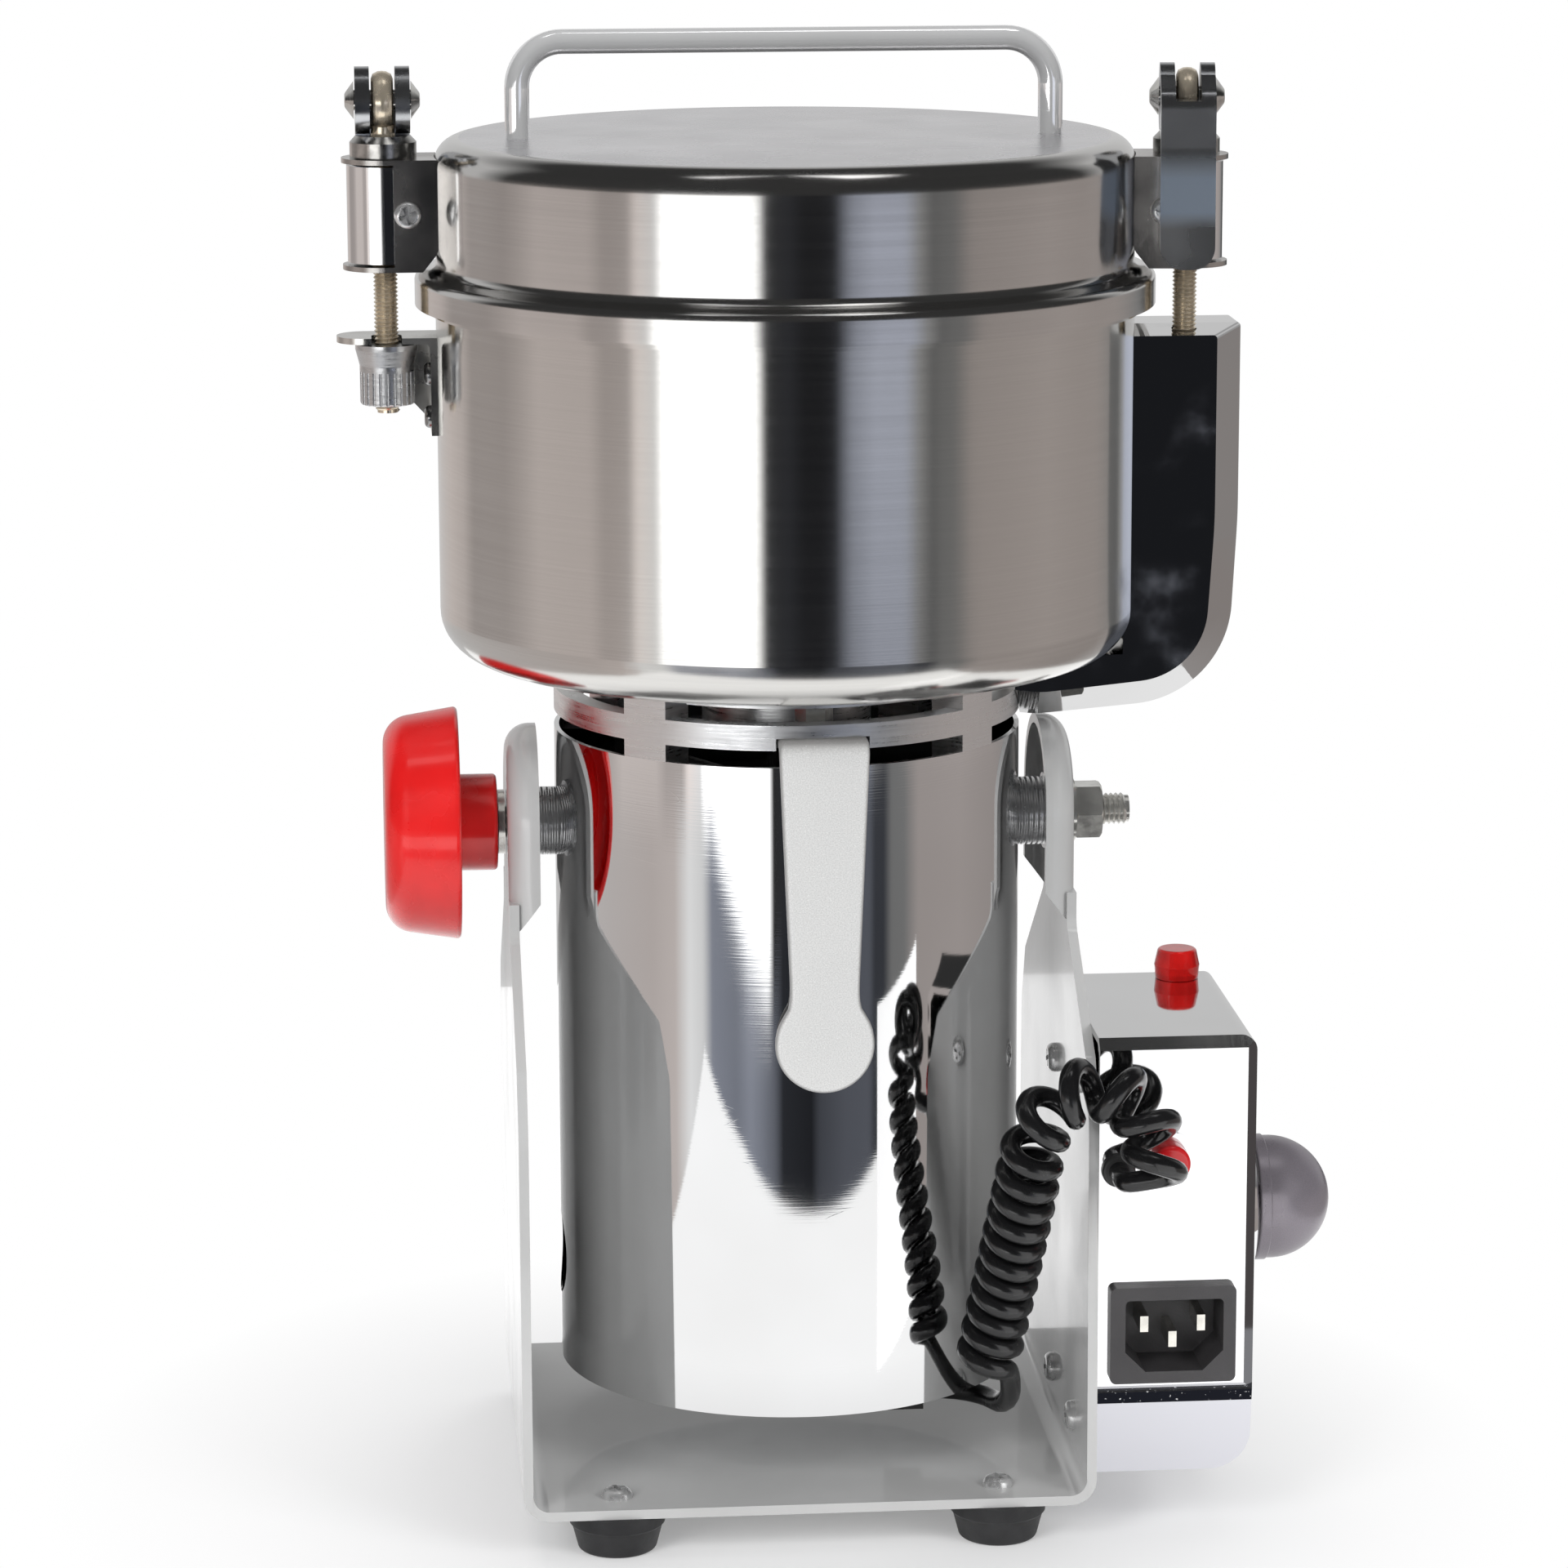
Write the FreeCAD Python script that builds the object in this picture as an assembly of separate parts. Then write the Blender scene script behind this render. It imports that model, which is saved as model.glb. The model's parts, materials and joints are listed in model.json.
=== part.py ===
import FreeCAD, Part
import math
import os

# Electric spice grinder: a drum with a clamped lid on a motor that tilts in a yoke.
# Millimetres. X points right, Y points away from the front, Z points up.
# The origin lies on the floor, straight under the axis of the drum.

# Floor and yoke
FOOT_HEIGHT = 10.3
FOOT_TOP_DIA = 23.5
FOOT_BOTTOM_DIA = 19.0
FOOT_X = 47.0
FOOT_Y = 56.0
SHEET = 2.4
ARM_GAP = 10.0
YOKE_BEND = 4.0
BASE_HALF_DEPTH = 66.0
ARM_TAPER_TOP = 105.0
ARM_TOP_HALF_DEPTH = 63.7
SLOPE_LOW = (57.0, 121.0)
ARM_ROUNDS = (16.0, 3.0, 5.0)
NECK_TOP = 146.0
HEAD_HALF_WIDTH = 21.5
HEAD_RISE = 3.0
PAN_DEPTH = 5.3
PAN_ROUND = 6.0
PAN_END = 154.0
FOOT_SCREW_DIA = 4.0
FOOT_SCREW_HEAD_DIA = 7.6
FOOT_SCREW_HEAD_HEIGHT = 2.4
FOOT_NUT_AF = 7.0
FOOT_NUT_HEIGHT = 3.2
FOOT_NUT_POCKET_DIA = 11.0
FOOT_NUT_POCKET_DEPTH = 4.6

# Tilt pivot
PIVOT_Z = 170.4
STUD_DIA = 8.0
STUD_BORE_DIA = 8.16
STUD_INSIDE = 6.0
STUD_OUT = 15.8
SPACER_DIA = 17.0
COLLAR_DIA = 19.0
COLLAR_WIDTH = 3.0
WASHER_DIA = 16.0
WASHER_THICK = 1.6
PIVOT_NUT_AF = 13.0
PIVOT_NUT_WIDTH = 6.8
SIDE_GAP = 0.3
KNOB_RIM_DIA = 58.0
KNOB_CROWN_DIA = 52.0
KNOB_WIDTH = 18.5
KNOB_WALL = 2.6
KNOB_HUB_DIA = 24.0
KNOB_HUB_WIDTH = 9.4
KNOB_STUD_OUT = 17.8

# Motor
SHELL_DIA = 115.6
SHELL_WALL = 1.2
SHELL_BOTTOM = 32.3
SHELL_TOP = 194.7
BRUSH_Z = 59.5
BRUSH_OPENING_DIA = 22.0
RING_BAND_LOW = 198.9
RING_BAND_HIGH = 205.0
RING_BAND_WALL = 5.0
RING_POST_WALL = 9.0
RING_POST_WIDTH = 12.5
RING_TURN = 3.8
RING_SKIRT_DEPTH = 8.0
RING_WEB = 6.0
RING_HUB_DIA = 42.0
RING_HUB_LOW = 192.0
CAP_THICK = 4.0
CAP_HUB_DIA = 32.0
PILLAR_INSET = 4.0
PILLAR_WIDTH = 10.0
PILLAR_HALF = 8.0
SHAFT_DIA = 10.0
LOWER_SHAFT_DIA = 8.0
UPPER_BEARING = (30.0, 9.0)
LOWER_BEARING = (22.0, 7.0)
UPPER_BEARING_Z = 194.0
LOWER_BEARING_Z = 38.0
STATOR_LOW = 92.0
STATOR_HIGH = 150.0
STATOR_YOKE_WALL = 9.0
POLE_WIDTH = 34.0
COIL_OVERHANG = 7.0
COIL_WALL = 8.0
ARMATURE_DIA = 48.0
AIR_GAP = 0.6
COMMUTATOR_DIA = 28.0
COMMUTATOR_HALF = 10.0
BRUSH_SECTION = (6.0, 9.0)
BRUSH_LENGTH = 20.0
HOLDER_WALL = 1.6
HOLDER_END = 46.0
FAN_DIA = 92.0
FAN_LOW = 164.0
FAN_HIGH = 178.0
FAN_BLADES = 9
FAN_HUB_DIA = 24.0
FAN_SHEET = 1.6
ARMATURE_HEAD_GAP = 3.2
RUN_GAP = 0.05

# Drum and what hangs under it
DRUM_WALL = 1.2
DRUM_FLOOR = 1.5
DRUM_BOTTOM = 213.4
DRUM_RIM = 299.6
DRUM_CORNER = 11.0
RIM_FLANGE = 2.05
RIM_TO_LIP = 2.95
DRUM_BOLT_INSET = 13.8
DRUM_BOLT_DIA = 5.0
DRUM_BOLT_HEAD_DIA = 9.5
DRUM_BOLT_HEAD_HEIGHT = 2.6
DRUM_NUT_AF = 8.0
DRUM_NUT_HEIGHT = 4.0
SHAFT_HOLE_DIA = 26.0
SEAL_HEIGHT = 6.0
BLADE_HUB_DIA = 18.0
BLADE_HUB_LOW = 220.0
BLADE_TIP_GAP = 12.25
BLADE_REACH_STEP = 6.0
BLADE_WIDTH = 16.0
BLADE_THICK = 2.5
BLADE_LEVELS = (223.0, 234.0, 245.0)
BLADE_TURN = 60.0
BLADE_NUT_AF = 16.0
BLADE_NUT_HEIGHT = 8.0

# Front strap on the motor ring
STRAP_X = 3.9
STRAP_THICK = 2.2
STRAP_OFF = 4.4
STRAP_TOP = 201.8
STRAP_TOP_HALF = 10.8
STRAP_LOW_HALF = 8.4
STRAP_ROUND_Z = 127.3
STRAP_ROUND_DIA = 24.0
STRAP_TAB = 8.0
STRAP_TAB_THICK = 2.2
STRAP_TAB_GAP = 0.5
STRAP_PAD_Z = 138.0
STRAP_PAD_DIA = 8.0
STRAP_NECK_RISE = 3.0

# Lid
LID_TOP = 339.9
LID_SHOULDER = 6.0
LIP_STEP = 5.15
LID_WALL = 1.2
LIP_DIA = 180.9
LIP_LOW = 299.9
LIP_HIGH = 307.0
FLARE_TOP = 313.4
FLARE_ROUND = 2.4
GASKET_WIDTH = 5.0
ROD_DIA = 6.0
ROD_SPAN = 130.0
ROD_Z = 363.0
ROD_BEND = 11.0

# Clamps: bracket, sleeve, eye bolt, cam washers, lever
CLAMP_OUT = 7.05
RIGHT_CLAMP_TURN = -7.1
BRACKET_SHEET = 1.2
BRACKET_LOW = 308.7
BRACKET_HIGH = 335.7
BRACKET_TAB = 10.0
SLEEVE_DIA = 18.0
SLEEVE_WALL = 1.4
SLEEVE_GAP = 0.6
BRACKET_SCREW_OUT = 6.7
BRACKET_SCREW_Z = 322.6
BRACKET_SCREW_DIA = 4.0
BRACKET_SCREW_HEAD_DIA = 6.4
BRACKET_SCREW_HEAD = 2.0
BRACKET_NUT_AF = 7.0
BRACKET_NUT_HEIGHT = 3.2
EYE_BOLT_DIA = 6.0
EYE_HOLE_GAP = 0.25
EYE_DIA = 14.0
EYE_WIDTH = 5.3
EYE_Z = 349.4
CAM_PIN_DIA = 5.0
CAM_PIN_HEAD_DIA = 9.2
CAM_PIN_HEAD = 2.2
CHEEK_DIA = 16.2
CHEEK_WALL = 3.5
FORK_WIDTH = 13.2
CAM_WASHER_DIA = 16.2
CAM_WASHER_THICK = 3.7
CAM_SADDLE_DIA = 13.2
CAM_SADDLE_TOP = 341.0
LEVER_PLATE = 3.0
LEVER_TIP_Z = 309.3
LEVER_ROOT_Z = 346.0
LEVER_KICK = 3.0
NUT_TOP_GAP = 0.3
CROSS_SPAN = 4.4
CROSS_WIDTH = 1.1
CROSS_DEPTH = 1.3
CROSS_TURN = 20.0

# Slotted ear on the drum and the knurled nut under it
EAR_TOP = 292.2
EAR_SHEET = 1.5
EAR_OVERHANG = 12.1
EAR_FRONT = 5.5
EAR_BACK = 9.6
EAR_LEG_LOW = 268.2
EAR_SLOT_WIDTH = 7.4
EAR_BEND = 1.5
EAR_GUSSET_LOW = 270.2
EAR_GUSSET_DROP = 4.7
EAR_GUSSET_SHORT = 8.0
EAR_RIVET_Z = (282.7, 272.2)
EAR_RIVET_DIA = 4.0
EAR_RIVET_HEAD_DIA = 5.6
EAR_RIVET_HEAD = 1.6
KNURL_FLARE_DIA = 15.3
KNURL_FLARE = 2.6
KNURL_DIA = 13.3
KNURL_LENGTH = 14.9
KNURL_FLUTES = 24
KNURL_FLUTE_DIA = 0.8
BOLT_TAIL = 2.0

# Side handle
GRIP_HALF = 19.0
GRIP_TOP = 293.6
GRIP_OVERHANG = 14.1
GRIP_BOTTOM = 196.5
GRIP_KNEE = 26.0
GRIP_KNEE_RISE = 4.0
GRIP_SOLE_RISE = 1.0
GRIP_SOLE_LENGTH = 8.0
GRIP_SOLE_ROUND = 20.0
GRIP_BEVEL = 7.7
GRIP_TOP_BEVEL = 1.6
GRIP_TOP_ROUND = 1.0
GRIP_CREST_HALF = 7.0
GRIP_LAP = 4.0
GRIP_BOW = 160.0
GRIP_BOW_DEPTH = 48.0
GRIP_TAPER = 2.4
GRIP_GAP = 0.2
GRIP_BOLT_DEPTH = 16.0
GRIP_SCREW_Z = (280.0, 230.0)
GRIP_SCREW_DIA = 5.0
GRIP_SCREW_DEPTH = 8.0
GRIP_SCREW_HEAD_DIA = 9.0
GRIP_SCREW_HEAD = 2.4

# Control box on the right arm
BOX_DEPTH = 38.8
BOX_FRONT = 64.5
BOX_BACK = 3.5
BOX_LOW = 16.0
BOX_TOP = 127.5
BOX_WALL = 1.8
BOX_BEVEL = 2.6
BOX_CHIN_TOP = 37.5
BOX_CHIN_SET = 6.0
BOX_ROUND_LOW = 10.0
BOX_ROUND_HIGH = 4.0
BOX_EDGE_ROUND = 3.0
BOX_SCREWS = ((-43.7, 112.6), (-3.6, 107.1), (-41.9, 25.3), (-3.6, 25.3))
BOX_POST_DIA = 8.0
BOX_SCREW_REACH = 12.0
BOX_SCREW_DIA = 4.0
BOX_SCREW_HEAD_DIA = 7.4
BOX_SCREW_HEAD = 2.2
INLET_SPAN = (2.8, 33.7)
INLET_Z = (41.4, 65.8)
INLET_FLANGE = 2.6
INLET_BODY_SPAN = (5.0, 32.1)
INLET_BODY_Z = (43.3, 63.6)
INLET_DEPTH = 17.0
RECESS_SPAN = (6.5, 30.6)
RECESS_Z = (44.4, 62.5)
RECESS_CHAMFER = 5.0
RECESS_DEPTH = 15.0
PIN_SPOTS = ((11.55, 55.6), (25.55, 55.6), (18.55, 51.6))
PIN_SIZE = (2.0, 4.0)
PIN_LENGTH = 12.0
RESET_FROM_ARM = 16.8
RESET_Z = 97.7
RESET_DIA = 11.0
RESET_PROUD = 5.5
RESET_TRAVEL = 3.0
RESET_COLLAR_DIA = 13.6
RESET_COLLAR = 1.2
BREAKER_SIZE = (15.0, 26.0, 14.0)
LENS_FROM_ARM = 28.0
LENS_Y = -4.6
LENS_DIA = 10.8
LENS_TOP_DIA = 9.6
LENS_HEIGHT = 7.6
LAMP_DIA = 8.0
LAMP_LENGTH = 14.0
DIAL_Y = -30.0
DIAL_Z = 77.0
DIAL_DIA = 42.0
DIAL_HEIGHT = 3.8
DIAL_RIM = 3.4
DIAL_BEVEL = 1.2
DIAL_SINK = 0.8
TIMER_NECK_WALL = 2.0
TIMER_SIZE = (18.0, 32.0, 24.0)
TIMER_SHAFT_DIA = 6.0
KNOB_BASE_DIA = 31.4
KNOB_LIFT = 4.4
KNOB_LENGTH = 19.5
KNOB_BAND = 3.0
KNOB_STEP = 0.4
TIMER_SHAFT_INSIDE = 6.0

# Curly cord: the wire, the axis that its curls wind round, and the plain wire at both ends.
# Its points are measured from the outer face of the right arm.
WIRE_DIA = 4.9
CURL_RADIUS = 5.6
CURL_TURNS = 15.75
CURL_START = 90.0
CURL_PITCH = 5.5
ARCH_PITCH = 9.4
ARCH_LENGTH = 48.0
PITCH_BLEND = 12.0
CORD_START = (4.7, -66.1, 95.0)
COIL_AXIS = (
    (10.4, -83.0, 97.0),
    (11.0, -82.2, 103.0),
    (10.0, -80.5, 110.5),
    (4.3, -79.5, 118.0),
    (-4.7, -78.5, 120.0),
    (-13.4, -77.0, 115.5),
    (-17.2, -75.5, 106.5),
    (-18.7, -72.5, 95.0),
    (-20.4, -66.5, 81.0),
    (-22.2, -60.0, 66.0),
    (-24.2, -55.5, 53.0),
    (-25.7, -54.0, 44.0),
)
CORD_TAIL = (
    ((-18.7, -47.5, 33.0), (0.0, 0.55, -0.85)),
    ((-20.8, -35.5, 26.4), (-0.45, 0.88, -0.1)),
)
CORD_END = (-38.2, -20.0, 26.0)
GLAND_DIA = 8.2
GLAND_EDGE_ROUND = 0.8
GLAND_NECK_STEP = 1.2
GLAND_INSIDE = 6.0
MOTOR_GLAND_SIZE = (9.0, 9.0)

# A margin by which cutting tools reach past what they cut
EPS = 1.0

# Worked out from the sizes above
BASE_LOW = FOOT_HEIGHT
BASE_TOP = BASE_LOW + SHEET
SHELL_R = SHELL_DIA / 2
SHELL_IN_R = SHELL_R - SHELL_WALL
ARM_X = SHELL_R + ARM_GAP
ARM_OUT = ARM_X + SHEET
STUD_END = ARM_OUT + STUD_OUT
KNOB_STUD_END = ARM_OUT + KNOB_STUD_OUT
HEAD_Z = PIVOT_Z + HEAD_RISE
HEAD_TOP = HEAD_Z + HEAD_HALF_WIDTH
STRAP_FACE = SHELL_R + STRAP_OFF
DRUM_BOLT_CIRCLE = SHELL_DIA - 2 * DRUM_BOLT_INSET
DRUM_R = LIP_DIA / 2 - RIM_TO_LIP - RIM_FLANGE
RIM_R = DRUM_R + RIM_FLANGE
DRUM_IN_R = DRUM_R - DRUM_WALL
BLADE_REACH = DRUM_IN_R - BLADE_TIP_GAP
CHAMBER_FLOOR = DRUM_BOTTOM + DRUM_FLOOR
LIP_R = LIP_DIA / 2
LID_R = LIP_R - LIP_STEP
CLAMP_REACH = LIP_R + CLAMP_OUT
EAR_OUT = CLAMP_REACH + EAR_OVERHANG
GRIP_OUT = CLAMP_REACH + GRIP_OVERHANG
GRIP_ROOT = math.sqrt(SHELL_R ** 2 - GRIP_HALF ** 2) - EPS
BOX_OUT = ARM_OUT + BOX_DEPTH
INLET_X = tuple(ARM_OUT + x for x in INLET_SPAN)
INLET_BODY_X = tuple(ARM_OUT + x for x in INLET_BODY_SPAN)
RECESS_X = tuple(ARM_OUT + x for x in RECESS_SPAN)
PIN_PLACES = tuple((ARM_OUT + x, z) for x, z in PIN_SPOTS)
RESET_X = ARM_OUT + RESET_FROM_ARM
LENS_X = ARM_OUT + LENS_FROM_ARM
KNOB_FROM = BOX_OUT + KNOB_LIFT
KNOB_TO = KNOB_FROM + KNOB_LENGTH
GLAND_X, GLAND_Y, GLAND_Z = ARM_OUT + CORD_START[0], CORD_START[1], CORD_START[2]
CAP_GLAND_X, CAP_GLAND_Y, CAP_GLAND_Z = ARM_OUT + CORD_END[0], CORD_END[1], CORD_END[2]
TAU = 2 * math.pi


def vec(x, y, z):
    return FreeCAD.Vector(x, y, z)


def rod_x(dia, x0, x1, y=0.0, z=0.0):
    low, high = min(x0, x1), max(x0, x1)
    return Part.makeCylinder(dia / 2, high - low, vec(low, y, z), vec(1, 0, 0))


def rod_y(dia, y0, y1, x=0.0, z=0.0):
    low, high = min(y0, y1), max(y0, y1)
    return Part.makeCylinder(dia / 2, high - low, vec(x, low, z), vec(0, 1, 0))


def rod_z(dia, z0, z1, x=0.0, y=0.0):
    low, high = min(z0, z1), max(z0, z1)
    return Part.makeCylinder(dia / 2, high - low, vec(x, y, low), vec(0, 0, 1))


def block(x0, x1, y0, y1, z0, z1):
    corner = vec(min(x0, x1), min(y0, y1), min(z0, z1))
    return Part.makeBox(abs(x1 - x0), abs(y1 - y0), abs(z1 - z0), corner)


def tube_z(dia_out, dia_in, z0, z1, x=0.0, y=0.0):
    return rod_z(dia_out, z0, z1, x, y).cut(rod_z(dia_in, z0 - EPS, z1 + EPS, x, y))


def tube_x(dia_out, dia_in, x0, x1, y=0.0, z=0.0):
    low, high = min(x0, x1), max(x0, x1)
    return rod_x(dia_out, low, high, y, z).cut(rod_x(dia_in, low - EPS, high + EPS, y, z))


def hex_points(across_flats):
    reach = across_flats / math.sqrt(3)
    return [(reach * math.cos(k * TAU / 6), reach * math.sin(k * TAU / 6)) for k in range(6)]


def outline(corners, place):
    """Closed wire through corners (u, v) or (u, v, radius); place turns (u, v) into a point."""
    count = len(corners)
    edges = []
    starts = []
    ends = []
    middles = []
    for i, corner in enumerate(corners):
        u, v = corner[0], corner[1]
        radius = corner[2] if len(corner) > 2 else 0.0
        pu, pv = corners[i - 1][0], corners[i - 1][1]
        nu, nv = corners[(i + 1) % count][0], corners[(i + 1) % count][1]
        if radius <= 0:
            starts.append((u, v))
            ends.append((u, v))
            middles.append(None)
            continue
        back = math.hypot(pu - u, pv - v)
        ahead = math.hypot(nu - u, nv - v)
        a = ((pu - u) / back, (pv - v) / back)
        b = ((nu - u) / ahead, (nv - v) / ahead)
        half = math.acos(max(-1.0, min(1.0, a[0] * b[0] + a[1] * b[1]))) / 2
        reach = radius / math.tan(half)
        mid_u, mid_v = a[0] + b[0], a[1] + b[1]
        length = math.hypot(mid_u, mid_v)
        out = radius / math.sin(half) - radius
        starts.append((u + a[0] * reach, v + a[1] * reach))
        ends.append((u + b[0] * reach, v + b[1] * reach))
        middles.append((u + mid_u / length * out, v + mid_v / length * out))
    for i in range(count):
        if middles[i] is not None:
            arc = Part.Arc(place(*starts[i]), place(*middles[i]), place(*ends[i]))
            edges.append(arc.toShape())
        here = place(*ends[i])
        there = place(*starts[(i + 1) % count])
        if (there - here).Length > 1e-6:
            edges.append(Part.LineSegment(here, there).toShape())
    return Part.Wire(edges)


def slab_x(corners, x0, x1):
    """Plate between x0 and x1 with an outline in (y, z)."""
    low, high = min(x0, x1), max(x0, x1)
    face = Part.Face(outline(corners, lambda u, v: vec(low, u, v)))
    return face.extrude(vec(high - low, 0, 0))


def slab_y(corners, y0, y1):
    """Plate between y0 and y1 with an outline in (x, z)."""
    low, high = min(y0, y1), max(y0, y1)
    face = Part.Face(outline(corners, lambda u, v: vec(u, low, v)))
    return face.extrude(vec(0, high - low, 0))


def slab_z(corners, z0, z1):
    """Plate between z0 and z1 with an outline in (x, y)."""
    low, high = min(z0, z1), max(z0, z1)
    face = Part.Face(outline(corners, lambda u, v: vec(u, v, low)))
    return face.extrude(vec(0, 0, high - low))


def turned_z(corners, x=0.0, y=0.0):
    """Solid turned about a vertical axis from an outline in (radius, z)."""
    face = Part.Face(outline(corners, lambda u, v: vec(x + u, y, v)))
    return face.revolve(vec(x, y, 0), vec(0, 0, 1), 360)


def turned_x(corners, y, z):
    """Solid turned about an axis along X from an outline in (x, radius)."""
    face = Part.Face(outline(corners, lambda u, v: vec(u, y, z + v)))
    return face.revolve(vec(0, y, z), vec(1, 0, 0), 360)


def fused(pieces):
    whole = pieces[0]
    for piece in pieces[1:]:
        whole = whole.fuse(piece)
    return whole.removeSplitter()


def less(whole, tools):
    for tool in tools:
        whole = whole.cut(tool)
    return whole


def mirrored_x(shape):
    return shape.mirror(vec(0, 0, 0), vec(1, 0, 0))


def turned_about(shape, degrees, x=0.0, y=0.0):
    copy = shape.copy()
    copy.rotate(vec(x, y, 0), vec(0, 0, 1), degrees)
    return copy


def with_cross(screw, place, about, degrees):
    """Screw with a cross recess sunk in its head at place; the turn about an axis points it."""
    half, arm = CROSS_SPAN / 2, CROSS_WIDTH / 2
    bar = block(-half, half, -arm, arm, -CROSS_DEPTH, EPS)
    cross = bar.fuse(block(-arm, arm, -half, half, -CROSS_DEPTH, EPS))
    cross.rotate(vec(0, 0, 0), vec(0, 0, 1), CROSS_TURN)
    cross.rotate(vec(0, 0, 0), about, degrees)
    cross.translate(place)
    return screw.cut(cross)


def save(name, pieces):
    """Write one node: a single solid, or a group of separate solids."""
    solids = []
    for piece in pieces:
        solids.extend(piece.Solids)
    shape = solids[0] if len(solids) == 1 else Part.makeCompound(solids)
    shape.exportStep("parts/" + name + ".step")
    print(name, len(solids), round(shape.Volume, 1), shape.isValid())


# Yoke and feet

def arm_head(grow, x0, x1):
    """Arched top of an arm, grown outwards by grow, from the neck upwards."""
    half = HEAD_HALF_WIDTH + grow
    low = NECK_TOP - EPS
    column = block(x0, x1, -half, half, low, HEAD_Z)
    return column.fuse(rod_x(2 * half, x0, x1, 0, HEAD_Z))


def arm_outline():
    reach_y, reach_z = SLOPE_LOW
    right = [
        (BASE_HALF_DEPTH, BASE_LOW),
        (ARM_TOP_HALF_DEPTH, ARM_TAPER_TOP, ARM_ROUNDS[0]),
        (reach_y, reach_z, ARM_ROUNDS[1]),
        (HEAD_HALF_WIDTH, NECK_TOP, ARM_ROUNDS[2]),
        (HEAD_HALF_WIDTH, HEAD_Z - PAN_ROUND * 2),
    ]
    left = [(-item[0],) + tuple(item[1:]) for item in reversed(right)]
    return right + left


def arm_pan():
    """Dished head: a domed outside and a rim that points at the motor."""
    outer = arm_head(0.0, ARM_X - PAN_DEPTH, ARM_OUT)
    edges = [e for e in outer.Edges if abs(e.BoundBox.XMin - ARM_OUT) < 0.01 and e.BoundBox.ZMax > NECK_TOP]
    outer = outer.makeFillet(PAN_ROUND, edges)
    inner = arm_head(-SHEET, ARM_X - PAN_DEPTH - EPS, ARM_X)
    edges = [e for e in inner.Edges if abs(e.BoundBox.XMin - ARM_X) < 0.01 and e.BoundBox.ZMax > NECK_TOP]
    inner = inner.makeFillet(PAN_ROUND - SHEET, edges)
    pan = outer.cut(inner)
    rim = ARM_X - PAN_DEPTH
    runout = slab_y([
        (rim - EPS, NECK_TOP - 2 * EPS),
        (ARM_X, NECK_TOP - 2 * EPS),
        (ARM_X, NECK_TOP + EPS),
        (rim, PAN_END),
        (rim - EPS, PAN_END),
    ], -BASE_HALF_DEPTH, BASE_HALF_DEPTH)
    return pan.cut(runout)


def make_arm():
    sheet = slab_x(arm_outline(), ARM_X, ARM_OUT)
    flat_top = HEAD_Z - PAN_ROUND * 2
    lower = sheet.cut(arm_head(EPS, ARM_X - EPS, ARM_OUT + EPS).common(
        block(ARM_X - EPS, ARM_OUT + EPS, -BASE_HALF_DEPTH, BASE_HALF_DEPTH, PAN_END, flat_top + EPS)))
    return lower.fuse(arm_pan())


def make_yoke():
    arm = make_arm()
    base = block(-ARM_OUT, ARM_OUT, -BASE_HALF_DEPTH, BASE_HALF_DEPTH, BASE_LOW, BASE_TOP)
    yoke = fused([base, arm, mirrored_x(arm)])
    corner = YOKE_BEND + SHEET
    tools = []
    for side in (-1, 1):
        square = block(side * (ARM_OUT - corner), side * (ARM_OUT + EPS),
                       -BASE_HALF_DEPTH - EPS, BASE_HALF_DEPTH + EPS, BASE_LOW - EPS, BASE_LOW + corner)
        round_bar = rod_y(2 * corner, -BASE_HALF_DEPTH - EPS, BASE_HALF_DEPTH + EPS,
                          side * (ARM_OUT - corner), BASE_LOW + corner)
        tools.append(square.cut(round_bar))
    yoke = less(yoke, tools)
    for side in (-1, 1):
        fillet = block(side * (ARM_X - YOKE_BEND), side * ARM_X, -BASE_HALF_DEPTH, BASE_HALF_DEPTH,
                       BASE_TOP, BASE_TOP + YOKE_BEND)
        hollow = rod_y(2 * YOKE_BEND, -BASE_HALF_DEPTH - EPS, BASE_HALF_DEPTH + EPS,
                       side * (ARM_X - YOKE_BEND), BASE_TOP + YOKE_BEND)
        yoke = yoke.fuse(fillet.cut(hollow))
    holes = [rod_x(STUD_BORE_DIA, -ARM_OUT - EPS, ARM_OUT + EPS, 0, PIVOT_Z)]
    for x, y in foot_places():
        holes.append(rod_z(FOOT_SCREW_DIA, BASE_LOW - EPS, BASE_TOP + EPS, x, y))
    for y, z in BOX_SCREWS:
        holes.append(rod_x(BOX_SCREW_DIA, ARM_X - EPS, ARM_OUT + EPS, y, z))
    return less(yoke, holes).removeSplitter()


def foot_places():
    return [(sx * FOOT_X, sy * FOOT_Y) for sx in (-1, 1) for sy in (-1, 1)]


def make_foot(x, y):
    top, low = FOOT_TOP_DIA / 2, FOOT_BOTTOM_DIA / 2
    bore, pocket = FOOT_SCREW_DIA / 2, FOOT_NUT_POCKET_DIA / 2
    return turned_z([
        (pocket, 0), (low, 0, 1.2), (top - 0.6, FOOT_HEIGHT - 4.0, 0.6), (top, FOOT_HEIGHT - 3.4),
        (top, FOOT_HEIGHT), (bore, FOOT_HEIGHT), (bore, FOOT_NUT_POCKET_DEPTH),
        (pocket, FOOT_NUT_POCKET_DEPTH),
    ], x, y)


def make_foot_screw(x, y):
    head = FOOT_SCREW_HEAD_DIA / 2
    top = BASE_TOP + FOOT_SCREW_HEAD_HEIGHT
    low = FOOT_NUT_POCKET_DEPTH - FOOT_NUT_HEIGHT
    screw = turned_z([
        (0, low), (FOOT_SCREW_DIA / 2, low), (FOOT_SCREW_DIA / 2, BASE_TOP),
        (head, BASE_TOP), (head, top, head * 0.55), (0, top),
    ], x, y)
    return with_cross(screw, vec(x, y, top), vec(0, 0, 1), 0)


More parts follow.
